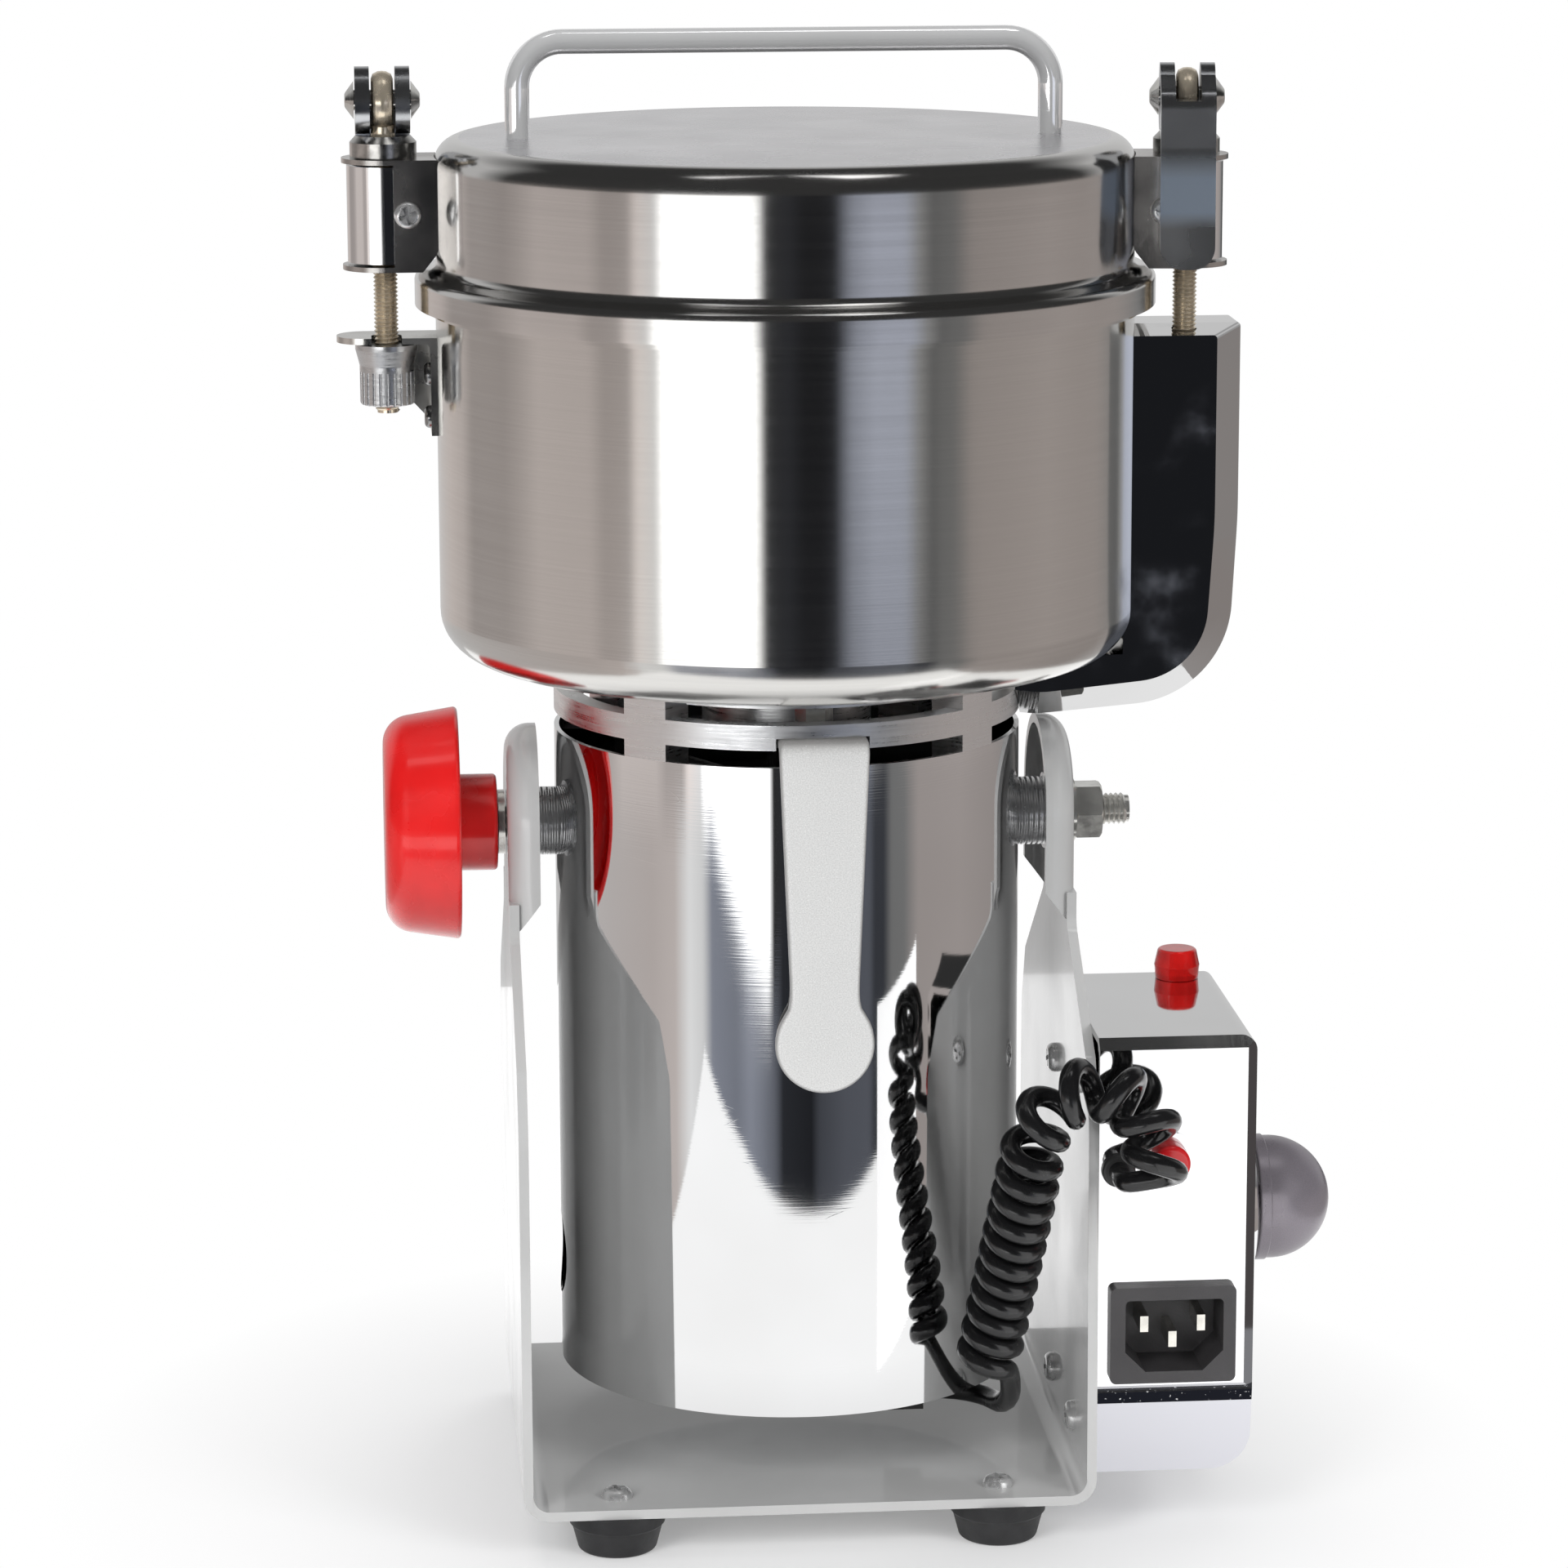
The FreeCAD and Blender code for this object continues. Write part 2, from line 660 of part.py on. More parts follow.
def make_foot_nut(x, y):
    corners = [(x + u, y + v) for u, v in hex_points(FOOT_NUT_AF)]
    top = FOOT_NUT_POCKET_DEPTH
    nut = slab_z(corners, top - FOOT_NUT_HEIGHT, top)
    return nut.cut(rod_z(FOOT_SCREW_DIA, 0, FOOT_HEIGHT, x, y))


# Tilt pivot

def make_pivot_stud(side):
    inner = SHELL_IN_R - STUD_INSIDE
    outer = STUD_END if side > 0 else KNOB_STUD_END
    return rod_x(STUD_DIA, side * inner, side * outer, 0, PIVOT_Z)


def make_pivot_spacer(side):
    """Saddle on the motor shell and a collar that faces the arm."""
    face = ARM_X - SIDE_GAP
    body = rod_x(SPACER_DIA, side * (SHELL_IN_R - EPS), side * (face - COLLAR_WIDTH), 0, PIVOT_Z)
    collar = rod_x(COLLAR_DIA, side * (face - COLLAR_WIDTH), side * face, 0, PIVOT_Z)
    spacer = fused([body, collar])
    return less(spacer, [
        rod_z(SHELL_DIA, PIVOT_Z - COLLAR_DIA, PIVOT_Z + COLLAR_DIA),
        rod_x(STUD_DIA, side * (SHELL_IN_R - 2 * EPS), side * ARM_OUT, 0, PIVOT_Z),
    ])


def make_pivot_washer(side):
    face = ARM_OUT + SIDE_GAP
    return tube_x(WASHER_DIA, STUD_DIA, side * face, side * (face + WASHER_THICK), 0, PIVOT_Z)


def make_lock_nut():
    start = ARM_OUT + SIDE_GAP + WASHER_THICK
    corners = [(u, PIVOT_Z + v) for u, v in hex_points(PIVOT_NUT_AF)]
    hexagon = slab_x(corners, start, start + PIVOT_NUT_WIDTH)
    reach = PIVOT_NUT_AF / math.sqrt(3)
    chamfer = turned_x([
        (start, 0), (start, reach - 0.6), (start + 1.0, reach + 0.4),
        (start + PIVOT_NUT_WIDTH - 1.0, reach + 0.4), (start + PIVOT_NUT_WIDTH, reach - 0.6),
        (start + PIVOT_NUT_WIDTH, 0),
    ], 0, PIVOT_Z)
    return hexagon.common(chamfer).cut(rod_x(STUD_DIA, start - EPS, STUD_END, 0, PIVOT_Z))


def make_lock_knob():
    """Red cup knob on the left stud, open towards the arm around its hub."""
    hub_face = -(ARM_OUT + 2 * SIDE_GAP + WASHER_THICK)
    rim_face = hub_face - KNOB_HUB_WIDTH
    crown_face = rim_face - KNOB_WIDTH
    rim, crown, wall = KNOB_RIM_DIA / 2, KNOB_CROWN_DIA / 2, KNOB_WALL
    bore = STUD_DIA / 2 + RUN_GAP
    blind = -(KNOB_STUD_END + SIDE_GAP)
    return turned_x([
        (crown_face, 0), (crown_face, crown, 7.0), (rim_face, rim, 1.0), (rim_face, rim - wall, 0.8),
        (crown_face + wall, crown - wall, 4.4), (crown_face + wall, KNOB_HUB_DIA / 2, 1.0),
        (hub_face, KNOB_HUB_DIA / 2, 1.0), (hub_face, bore), (blind, bore), (blind, 0),
    ], 0, PIVOT_Z)


# Motor

def make_motor_shell():
    shell = tube_z(SHELL_DIA, SHELL_DIA - 2 * SHELL_WALL, SHELL_BOTTOM, SHELL_TOP)
    tools = []
    for side in (-1, 1):
        tools.append(rod_x(STUD_DIA, 0, side * (SHELL_R + EPS), 0, PIVOT_Z))
        tools.append(rod_x(BRUSH_OPENING_DIA, 0, side * (SHELL_R + EPS), 0, BRUSH_Z))
    return less(shell, tools)


def sector(radius_out, wall, width, z0, z1, degrees):
    ring = tube_z(2 * radius_out, 2 * (radius_out - wall), z0, z1)
    bar = block(0, radius_out + EPS, -width / 2, width / 2, z0, z1)
    return ring.common(turned_about(bar, degrees))


def make_motor_ring():
    band = tube_z(SHELL_DIA, SHELL_DIA - 2 * RING_BAND_WALL, RING_BAND_LOW, RING_BAND_HIGH)
    web_low = DRUM_BOTTOM - RING_WEB
    post_in = SHELL_R - RING_POST_WALL
    pieces = [band, rod_z(2 * post_in + EPS, web_low, DRUM_BOTTOM),
              rod_z(RING_HUB_DIA, RING_HUB_LOW, DRUM_BOTTOM)]
    for quarter in range(4):
        degrees = RING_TURN + 45 + 90 * quarter
        pieces.append(sector(SHELL_R, RING_POST_WALL, RING_POST_WIDTH, SHELL_TOP, DRUM_BOTTOM, degrees))
        pieces.append(sector(SHELL_IN_R, RING_POST_WALL - SHELL_WALL, RING_POST_WIDTH,
                             SHELL_TOP - RING_SKIRT_DEPTH, SHELL_TOP, degrees))
    ring = fused(pieces)
    bearing_dia, bearing_width = UPPER_BEARING
    tools = [
        rod_z(bearing_dia, RING_HUB_LOW - EPS, UPPER_BEARING_Z + bearing_width),
        rod_z(SHAFT_HOLE_DIA, RING_HUB_LOW, DRUM_BOTTOM + EPS),
        strap_notch(),
    ]
    for x, y in drum_bolt_places():
        tools.append(rod_z(DRUM_BOLT_DIA, web_low - EPS, DRUM_BOTTOM + EPS, x, y))
    return less(ring, tools)


def strap_notch():
    half = STRAP_TOP_HALF + STRAP_TAB_GAP
    return block(STRAP_X - half, STRAP_X + half, -SHELL_R - EPS, -SHELL_R + STRAP_TAB + STRAP_TAB_GAP,
                 RING_BAND_LOW - EPS, STRAP_TOP)


def drum_bolt_places():
    radius = DRUM_BOLT_CIRCLE / 2
    angles = [math.radians(RING_TURN) + k * TAU / 4 for k in range(4)]
    return [(radius * math.cos(angle), radius * math.sin(angle)) for angle in angles]


def make_bottom_cap():
    """End bracket that closes the shell and carries the lower bearing and the brush holders."""
    top = SHELL_BOTTOM + CAP_THICK
    bearing_dia, bearing_width = LOWER_BEARING
    disc = rod_z(2 * SHELL_IN_R, SHELL_BOTTOM, top)
    hub = rod_z(CAP_HUB_DIA, SHELL_BOTTOM, LOWER_BEARING_Z + bearing_width)
    cap = fused([disc, hub])
    holder_low = BRUSH_Z - BRUSH_SECTION[1] / 2 - HOLDER_WALL
    for side in (-1, 1):
        outer = HOLDER_END - PILLAR_INSET
        inner = outer - PILLAR_WIDTH
        pillar = block(side * inner, side * outer, -PILLAR_HALF, PILLAR_HALF, SHELL_BOTTOM, holder_low)
        cap = cap.fuse(pillar)
    return less(cap, [rod_z(bearing_dia, LOWER_BEARING_Z, LOWER_BEARING_Z + bearing_width + EPS)])


def make_bearing(size, shaft_dia, z):
    dia, width = size
    return tube_z(dia, shaft_dia + 2 * RUN_GAP, z, z + width)


def make_stator():
    ring = tube_z(2 * SHELL_IN_R, 2 * (SHELL_IN_R - STATOR_YOKE_WALL), STATOR_LOW, STATOR_HIGH)
    pole = block(-POLE_WIDTH / 2, POLE_WIDTH / 2, -SHELL_IN_R, SHELL_IN_R, STATOR_LOW, STATOR_HIGH)
    pole = pole.common(rod_z(2 * SHELL_IN_R - STATOR_YOKE_WALL, STATOR_LOW, STATOR_HIGH))
    bore = rod_z(ARMATURE_DIA + 2 * AIR_GAP, STATOR_LOW - EPS, STATOR_HIGH + EPS)
    return fused([ring, pole]).cut(bore)


def make_field_coil(side):
    inner = ARMATURE_DIA / 2 + AIR_GAP + 4
    outer = SHELL_IN_R - STATOR_YOKE_WALL - 2
    half = POLE_WIDTH / 2
    wide = block(-half - COIL_WALL, half + COIL_WALL, side * inner, side * outer,
                 STATOR_LOW - COIL_OVERHANG, STATOR_HIGH + COIL_OVERHANG)
    hole = block(-half, half, side * (inner - EPS), side * (outer + EPS), STATOR_LOW, STATOR_HIGH)
    room = rod_z(2 * (SHELL_IN_R - STATOR_YOKE_WALL), STATOR_LOW - COIL_OVERHANG, STATOR_HIGH + COIL_OVERHANG)
    clear = rod_z(ARMATURE_DIA + 4 * AIR_GAP, STATOR_LOW - 2 * COIL_OVERHANG, STATOR_HIGH + 2 * COIL_OVERHANG)
    return wide.cut(hole).common(room).cut(clear)


def make_brush_holder(side):
    width, height = BRUSH_SECTION
    start = COMMUTATOR_DIA / 2 + 3
    outer = block(side * start, side * HOLDER_END, -width / 2 - HOLDER_WALL, width / 2 + HOLDER_WALL,
                  BRUSH_Z - height / 2 - HOLDER_WALL, BRUSH_Z + height / 2 + HOLDER_WALL)
    inner = block(side * (start - EPS), side * (HOLDER_END - 2), -width / 2, width / 2,
                  BRUSH_Z - height / 2, BRUSH_Z + height / 2)
    return outer.cut(inner)


def make_brush(side):
    width, height = BRUSH_SECTION
    start = COMMUTATOR_DIA / 2 - EPS
    brush = block(side * start, side * (start + BRUSH_LENGTH), -width / 2, width / 2,
                  BRUSH_Z - height / 2, BRUSH_Z + height / 2)
    return brush.cut(rod_z(COMMUTATOR_DIA + 2 * RUN_GAP, BRUSH_Z - height, BRUSH_Z + height))


def make_rotor_shaft():
    low, high = LOWER_SHAFT_DIA / 2, SHAFT_DIA / 2
    step = LOWER_BEARING_Z + LOWER_BEARING[1] + SIDE_GAP
    top = BLADE_LEVELS[-1] + BLADE_THICK + BLADE_NUT_HEIGHT + 2
    return turned_z([
        (0, LOWER_BEARING_Z + SIDE_GAP), (low, LOWER_BEARING_Z + SIDE_GAP), (low, step),
        (high, step), (high, top, 1.0), (0, top),
    ])


def make_armature():
    core = rod_z(ARMATURE_DIA, STATOR_LOW, STATOR_HIGH)
    slots = []
    for k in range(12):
        slot = rod_z(3.0, STATOR_LOW - EPS, STATOR_HIGH + EPS, ARMATURE_DIA / 2 - 1.2, 0)
        slots.append(turned_about(slot, k * 30))
    winding = turned_z([
        (SHAFT_DIA / 2, STATOR_LOW - 10), (ARMATURE_DIA / 2 - 5, STATOR_LOW - 10, 3.0),
        (ARMATURE_DIA / 2 - 4, STATOR_LOW), (SHAFT_DIA / 2, STATOR_LOW),
    ])
    lift = winding.mirror(vec(0, 0, (STATOR_LOW + STATOR_HIGH) / 2), vec(0, 0, 1))
    return fused([less(core, slots), winding, lift]).cut(rod_z(SHAFT_DIA, 0, DRUM_RIM))


def make_commutator():
    low, high = BRUSH_Z - COMMUTATOR_HALF, BRUSH_Z + COMMUTATOR_HALF
    return tube_z(COMMUTATOR_DIA, SHAFT_DIA, low, high)


def make_cooling_fan():
    hub = tube_z(FAN_HUB_DIA, SHAFT_DIA, STATOR_HIGH + COIL_OVERHANG + ARMATURE_HEAD_GAP, FAN_HIGH)
    disc = tube_z(FAN_DIA, FAN_HUB_DIA - EPS, FAN_LOW, FAN_LOW + FAN_SHEET)
    blades = []
    for k in range(FAN_BLADES):
        blade = block(FAN_HUB_DIA / 2 - EPS, FAN_DIA / 2 - 2, -FAN_SHEET / 2, FAN_SHEET / 2, FAN_LOW, FAN_HIGH)
        blades.append(turned_about(blade, k * 360.0 / FAN_BLADES))
    return fused([hub, disc] + blades)


def make_shaft_seal():
    """Lip seal in the floor of the drum, round the shaft."""
    outer = SHAFT_HOLE_DIA / 2
    bore = SHAFT_DIA / 2 + RUN_GAP
    top = CHAMBER_FLOOR + SEAL_HEIGHT - 2
    return turned_z([
        (bore, DRUM_BOTTOM - RING_WEB), (outer, DRUM_BOTTOM - RING_WEB), (outer, CHAMBER_FLOOR),
        (outer + 3, CHAMBER_FLOOR), (outer + 3, CHAMBER_FLOOR + 1.6, 0.8), (bore + 2.4, top), (bore, top),
    ])


def make_blade_hub():
    return tube_z(BLADE_HUB_DIA, SHAFT_DIA, BLADE_HUB_LOW, BLADE_LEVELS[0])


def make_blade(index):
    """Flat bar ground to an edge on the leading side of each arm."""
    low = BLADE_LEVELS[index]
    reach = BLADE_REACH - BLADE_REACH_STEP * index
    half = BLADE_WIDTH / 2
    taper = BLADE_WIDTH * 0.35
    bar = slab_z([
        (-reach, -half, 2.0), (BLADE_HUB_DIA, -half), (reach, -half + taper, 2.0),
        (reach, half, 2.0), (-BLADE_HUB_DIA, half), (-reach, half - taper, 2.0),
    ], low, low + BLADE_THICK)
    bar = bar.cut(rod_z(SHAFT_DIA, low - EPS, low + BLADE_THICK + EPS))
    return turned_about(bar, index * BLADE_TURN)


def make_blade_spacer(index):
    return tube_z(BLADE_HUB_DIA, SHAFT_DIA, BLADE_LEVELS[index] + BLADE_THICK, BLADE_LEVELS[index + 1])


def make_blade_nut():
    low = BLADE_LEVELS[-1] + BLADE_THICK
    nut = slab_z(hex_points(BLADE_NUT_AF), low, low + BLADE_NUT_HEIGHT)
    return nut.cut(rod_z(SHAFT_DIA, low - EPS, low + BLADE_NUT_HEIGHT + EPS))


# Drum

def make_drum():
    flange = RIM_R
    low_rim = DRUM_RIM - DRUM_WALL
    drum = turned_z([
        (0, DRUM_BOTTOM), (DRUM_R, DRUM_BOTTOM, DRUM_CORNER), (DRUM_R, low_rim), (flange, low_rim),
        (flange, DRUM_RIM), (DRUM_IN_R, DRUM_RIM), (DRUM_IN_R, CHAMBER_FLOOR, DRUM_CORNER - DRUM_WALL),
        (0, CHAMBER_FLOOR),
    ])
    tools = [rod_z(SHAFT_HOLE_DIA, DRUM_BOTTOM - EPS, CHAMBER_FLOOR + EPS)]
    for x, y in drum_bolt_places():
        tools.append(rod_z(DRUM_BOLT_DIA, DRUM_BOTTOM - EPS, CHAMBER_FLOOR + EPS, x, y))
    for z in EAR_RIVET_Z:
        tools.append(rod_x(EAR_RIVET_DIA, -DRUM_R - EPS, -DRUM_IN_R + EPS * 3, 0, z))
    for z in GRIP_SCREW_Z:
        tools.append(rod_x(GRIP_SCREW_DIA, DRUM_IN_R - EPS * 3, DRUM_R + EPS, 0, z))
    return less(drum, tools)


def make_drum_bolt(x, y):
    head = DRUM_BOLT_HEAD_DIA / 2
    shank = DRUM_BOLT_DIA / 2
    low = DRUM_BOTTOM - RING_WEB - DRUM_NUT_HEIGHT - 1.2
    top = CHAMBER_FLOOR + DRUM_BOLT_HEAD_HEIGHT
    return turned_z([
        (0, low), (shank, low), (shank, CHAMBER_FLOOR), (head, CHAMBER_FLOOR), (head, top, 1.6), (0, top),
    ], x, y)


def make_drum_nut(x, y):
    high = DRUM_BOTTOM - RING_WEB
    corners = [(x + u, y + v) for u, v in hex_points(DRUM_NUT_AF)]
    nut = slab_z(corners, high - DRUM_NUT_HEIGHT, high)
    return nut.cut(rod_z(DRUM_BOLT_DIA, high - DRUM_NUT_HEIGHT - EPS, high + EPS, x, y))


def make_front_strap():
    """Painted strap that hangs from the ring in front of the motor and ends in a round pad."""
    low = STRAP_ROUND_Z
    radius = STRAP_ROUND_DIA / 2
    face, back = -STRAP_FACE, -STRAP_FACE + STRAP_THICK
    neck = low + radius + STRAP_NECK_RISE
    plate = slab_y([
        (STRAP_X - STRAP_TOP_HALF, STRAP_TOP), (STRAP_X - STRAP_LOW_HALF, neck),
        (STRAP_X - STRAP_LOW_HALF, low), (STRAP_X + STRAP_LOW_HALF, low),
        (STRAP_X + STRAP_LOW_HALF, neck), (STRAP_X + STRAP_TOP_HALF, STRAP_TOP),
    ], face, back)
    pad = rod_y(STRAP_ROUND_DIA, face, back, STRAP_X, low)
    tab = block(STRAP_X - STRAP_TOP_HALF, STRAP_X + STRAP_TOP_HALF, face, -SHELL_R + STRAP_TAB,
                STRAP_TOP - STRAP_TAB_THICK, STRAP_TOP)
    strap = fused([plate, pad, tab])
    corner = [e for e in strap.Edges
              if abs(e.BoundBox.ZMin - STRAP_TOP) < 0.01 and abs(e.BoundBox.YMax - face) < 0.01]
    return strap.makeFillet(STRAP_THICK - 0.2, corner)


def make_strap_pad():
    """Rubber buffer between the strap and the shell."""
    pad = rod_y(STRAP_PAD_DIA, -STRAP_FACE + STRAP_THICK, -SHELL_R + 3 * EPS, STRAP_X, STRAP_PAD_Z)
    return pad.cut(rod_z(SHELL_DIA, STRAP_PAD_Z - STRAP_PAD_DIA, STRAP_PAD_Z + STRAP_PAD_DIA))


# Side handle

def grip_outline(inset, top_inset):
    """Side view of the grip, (x, z): its outer side, knee and sole move inwards by inset."""
    out = GRIP_OUT - inset
    sole = GRIP_BOTTOM + inset
    top = GRIP_TOP - top_inset
    return [
        (DRUM_R - GRIP_LAP, DRUM_BOTTOM), (DRUM_R - GRIP_LAP, top), (out, top, GRIP_TOP_ROUND),
        (out, GRIP_TOP - GRIP_BOW_DEPTH, GRIP_BOW),
        (out - GRIP_TAPER, sole + GRIP_KNEE_RISE, GRIP_KNEE - inset),
        (GRIP_ROOT + GRIP_SOLE_LENGTH, sole, GRIP_SOLE_ROUND), (GRIP_ROOT, sole + GRIP_SOLE_RISE),
        (GRIP_ROOT, DRUM_BOTTOM),
    ]


def grip_wire(inset, top_inset, y):
    return outline(grip_outline(inset, top_inset), lambda u, v: vec(u, y, v))


def make_side_handle():
    """Solid grip, bevelled along its outer side, that hugs the drum and reaches under it to the ring."""
    grip = slab_y(grip_outline(0.0, 0.0), -GRIP_CREST_HALF, GRIP_CREST_HALF)
    for side in (-1, 1):
        crest = grip_wire(0.0, 0.0, side * GRIP_CREST_HALF)
        face = grip_wire(GRIP_BEVEL, GRIP_TOP_BEVEL, side * GRIP_HALF)
        grip = grip.fuse(Part.makeLoft([crest, face], True, True))
    grip = grip.removeSplitter()
    ring = rod_z(SHELL_DIA + 2 * GRIP_GAP, 0, DRUM_BOTTOM)
    flange = rod_z(2 * (RIM_R + GRIP_GAP), DRUM_RIM - DRUM_WALL - GRIP_GAP, DRUM_RIM + EPS)
    bolt_x, bolt_y = clamp_centre(1)
    bolt = rod_z(EYE_BOLT_DIA + 4 * RUN_GAP, GRIP_TOP - GRIP_BOLT_DEPTH, GRIP_TOP + EPS, bolt_x, bolt_y)
    tools = [drum_body(), ring, flange, bolt]
    for z in GRIP_SCREW_Z:
        tools.append(rod_x(GRIP_SCREW_DIA, DRUM_R - EPS, DRUM_R + GRIP_SCREW_DEPTH, 0, z))
    return less(grip, tools)


def drum_body():
    """The drum as one solid body, to cut what hugs it."""
    return turned_z([
        (0, DRUM_BOTTOM), (DRUM_R, DRUM_BOTTOM, DRUM_CORNER), (DRUM_R, DRUM_RIM + EPS), (0, DRUM_RIM + EPS),
    ])


def make_grip_screw(z):
    shank = rod_x(GRIP_SCREW_DIA, DRUM_IN_R, DRUM_R + GRIP_SCREW_DEPTH, 0, z)
    head = rod_x(GRIP_SCREW_HEAD_DIA, DRUM_IN_R - GRIP_SCREW_HEAD, DRUM_R - EPS / 4, 0, z)
    return fused([shank, head.common(rod_z(2 * DRUM_IN_R, z - 10, z + 10))])


# Lid

def make_lid_shell():
    wall = LID_WALL
    return turned_z([
        (0, LID_TOP), (LID_R, LID_TOP, LID_SHOULDER), (LID_R, FLARE_TOP, FLARE_ROUND + wall),
        (LIP_R, LIP_HIGH, FLARE_ROUND + wall), (LIP_R, LIP_LOW), (LIP_R - wall, LIP_LOW),
        (LIP_R - wall, LIP_HIGH - wall / 2, FLARE_ROUND), (LID_R - wall, FLARE_TOP - wall / 2, FLARE_ROUND),
        (LID_R - wall, LID_TOP - wall, LID_SHOULDER - wall), (0, LID_TOP - wall),
    ])


def make_lid_gasket():
    """Soft ring in the lip of the lid, which the rim of the drum presses on."""
    outer = LIP_R - LID_WALL
    inner = outer - GASKET_WIDTH
    return turned_z([
        (inner, LIP_LOW), (outer, LIP_LOW), (outer, LIP_HIGH - 3.0), (inner, LIP_HIGH - 0.4),
    ])


def make_lid_handle():
    half = ROD_SPAN / 2
    points = [vec(-half, 0, LID_TOP), vec(-half, 0, ROD_Z - ROD_BEND), vec(-half + ROD_BEND, 0, ROD_Z),
              vec(half - ROD_BEND, 0, ROD_Z), vec(half, 0, ROD_Z - ROD_BEND), vec(half, 0, LID_TOP)]
    share = ROD_BEND * (1 - math.sqrt(0.5))
    left_mid = vec(-half + share, 0, ROD_Z - share)
    right_mid = vec(half - share, 0, ROD_Z - share)
    path = Part.Wire([
        Part.LineSegment(points[0], points[1]).toShape(),
        Part.Arc(points[1], left_mid, points[2]).toShape(),
        Part.LineSegment(points[2], points[3]).toShape(),
        Part.Arc(points[3], right_mid, points[4]).toShape(),
        Part.LineSegment(points[4], points[5]).toShape(),
    ])
    section = Part.Wire([Part.makeCircle(ROD_DIA / 2, points[0], vec(0, 0, 1))])
    return path.makePipeShell([section], True, False)


# Clamps: built on the left, mirrored and turned for the right

def clamp_centre(side):
    if side < 0:
        return -CLAMP_REACH, 0.0
    angle = math.radians(RIGHT_CLAMP_TURN)
    return CLAMP_REACH * math.cos(angle), CLAMP_REACH * math.sin(angle)


def clamp_pair(shape):
    """The left piece and its mirror image, turned into place on the right."""
    return [shape, turned_about(mirrored_x(shape), RIGHT_CLAMP_TURN)]


def make_bracket():
    """Channel on the lid: two ears, a back web and two tabs that grip the sleeve."""
    half = SLEEVE_DIA / 2 + BRACKET_SHEET
    lap = -LID_R + 3.0
    ear = [(lap, -half), (lap, half), (-CLAMP_REACH, half), (-CLAMP_REACH - half, half, half - 0.2),
           (-CLAMP_REACH - half, -half, half - 0.2), (-CLAMP_REACH, -half)]
    low = slab_z(ear, BRACKET_LOW, BRACKET_LOW + BRACKET_SHEET)
    high = slab_z(ear, BRACKET_HIGH - BRACKET_SHEET, BRACKET_HIGH)
    web = block(-LID_R - BRACKET_SHEET, lap, -half, half, BRACKET_LOW, BRACKET_HIGH)
    front = block(-LID_R - BRACKET_TAB, lap, -half, -half + BRACKET_SHEET, BRACKET_LOW, BRACKET_HIGH)
    back = block(-LID_R - BRACKET_TAB, lap, half - BRACKET_SHEET, half, BRACKET_LOW, BRACKET_HIGH)
    bracket = fused([low, high, web, front, back])
    skirt = rod_z(2 * LID_R, LIP_LOW, LID_TOP)
    hole = rod_z(EYE_BOLT_DIA + 2 * EYE_HOLE_GAP, LIP_LOW, LID_TOP, -CLAMP_REACH, 0)
    screw_x = -LID_R - BRACKET_SCREW_OUT
    screw = rod_y(BRACKET_SCREW_DIA, -half - EPS, half + EPS, screw_x, BRACKET_SCREW_Z)
    return less(bracket, [skirt, lid_flare(), make_lid_shell(), hole, screw])


def lid_flare():
    """Outside of the lid's flare and lip, to cut what sits just above it."""
    return turned_z([
        (0, LIP_LOW), (LIP_R, LIP_LOW), (LIP_R, LIP_HIGH, FLARE_ROUND), (LID_R, FLARE_TOP, FLARE_ROUND),
        (LID_R, LID_TOP), (0, LID_TOP),
    ])


def make_sleeve():
    """Strap bent round the eye bolt, with both ends held between the tabs."""
    half = SLEEVE_DIA / 2
    inside = half - SLEEVE_WALL
    low = BRACKET_LOW + BRACKET_SHEET + SLEEVE_GAP
    high = BRACKET_HIGH - BRACKET_SHEET - SLEEVE_GAP
    end = -LID_R - BRACKET_SHEET - SLEEVE_GAP
    outer = rod_z(SLEEVE_DIA, low, high, -CLAMP_REACH, 0).fuse(block(-CLAMP_REACH, end, -half, half, low, high))
    inner = rod_z(2 * inside, low - EPS, high + EPS, -CLAMP_REACH, 0)
    inner = inner.fuse(block(-CLAMP_REACH, end + EPS, -inside, inside, low - EPS, high + EPS))
    screw = rod_y(BRACKET_SCREW_DIA, -half - EPS, half + EPS, -LID_R - BRACKET_SCREW_OUT, BRACKET_SCREW_Z)
    return less(outer, [inner, screw, make_lid_shell()]).removeSplitter()


def make_bracket_screw(side):
    """Screw along Y with its head in front on either side."""
    half = SLEEVE_DIA / 2 + BRACKET_SHEET
    x = -LID_R - BRACKET_SCREW_OUT
    shank = rod_y(BRACKET_SCREW_DIA, -half, half + BRACKET_NUT_HEIGHT, x, BRACKET_SCREW_Z)
    head = rod_y(BRACKET_SCREW_HEAD_DIA, -half - BRACKET_SCREW_HEAD, -half, x, BRACKET_SCREW_Z)
    rim = [e for e in head.Edges if abs(e.BoundBox.YMax + half + BRACKET_SCREW_HEAD) < 0.01]
    screw = fused([shank, head.makeFillet(BRACKET_SCREW_HEAD * 0.6, rim)])
    screw = with_cross(screw, vec(x, -half - BRACKET_SCREW_HEAD, BRACKET_SCREW_Z), vec(1, 0, 0), 90)
    if side < 0:
        return screw
    return turned_about(mirrored_x(screw), RIGHT_CLAMP_TURN)


def make_bracket_nut():
    half = SLEEVE_DIA / 2 + BRACKET_SHEET
    x = -LID_R - BRACKET_SCREW_OUT
    corners = [(x + v, BRACKET_SCREW_Z + u) for u, v in hex_points(BRACKET_NUT_AF)]
    nut = slab_y(corners, half, half + BRACKET_NUT_HEIGHT)
    return nut.cut(rod_y(BRACKET_SCREW_DIA, half - EPS, half + BRACKET_NUT_HEIGHT + EPS, x, BRACKET_SCREW_Z))


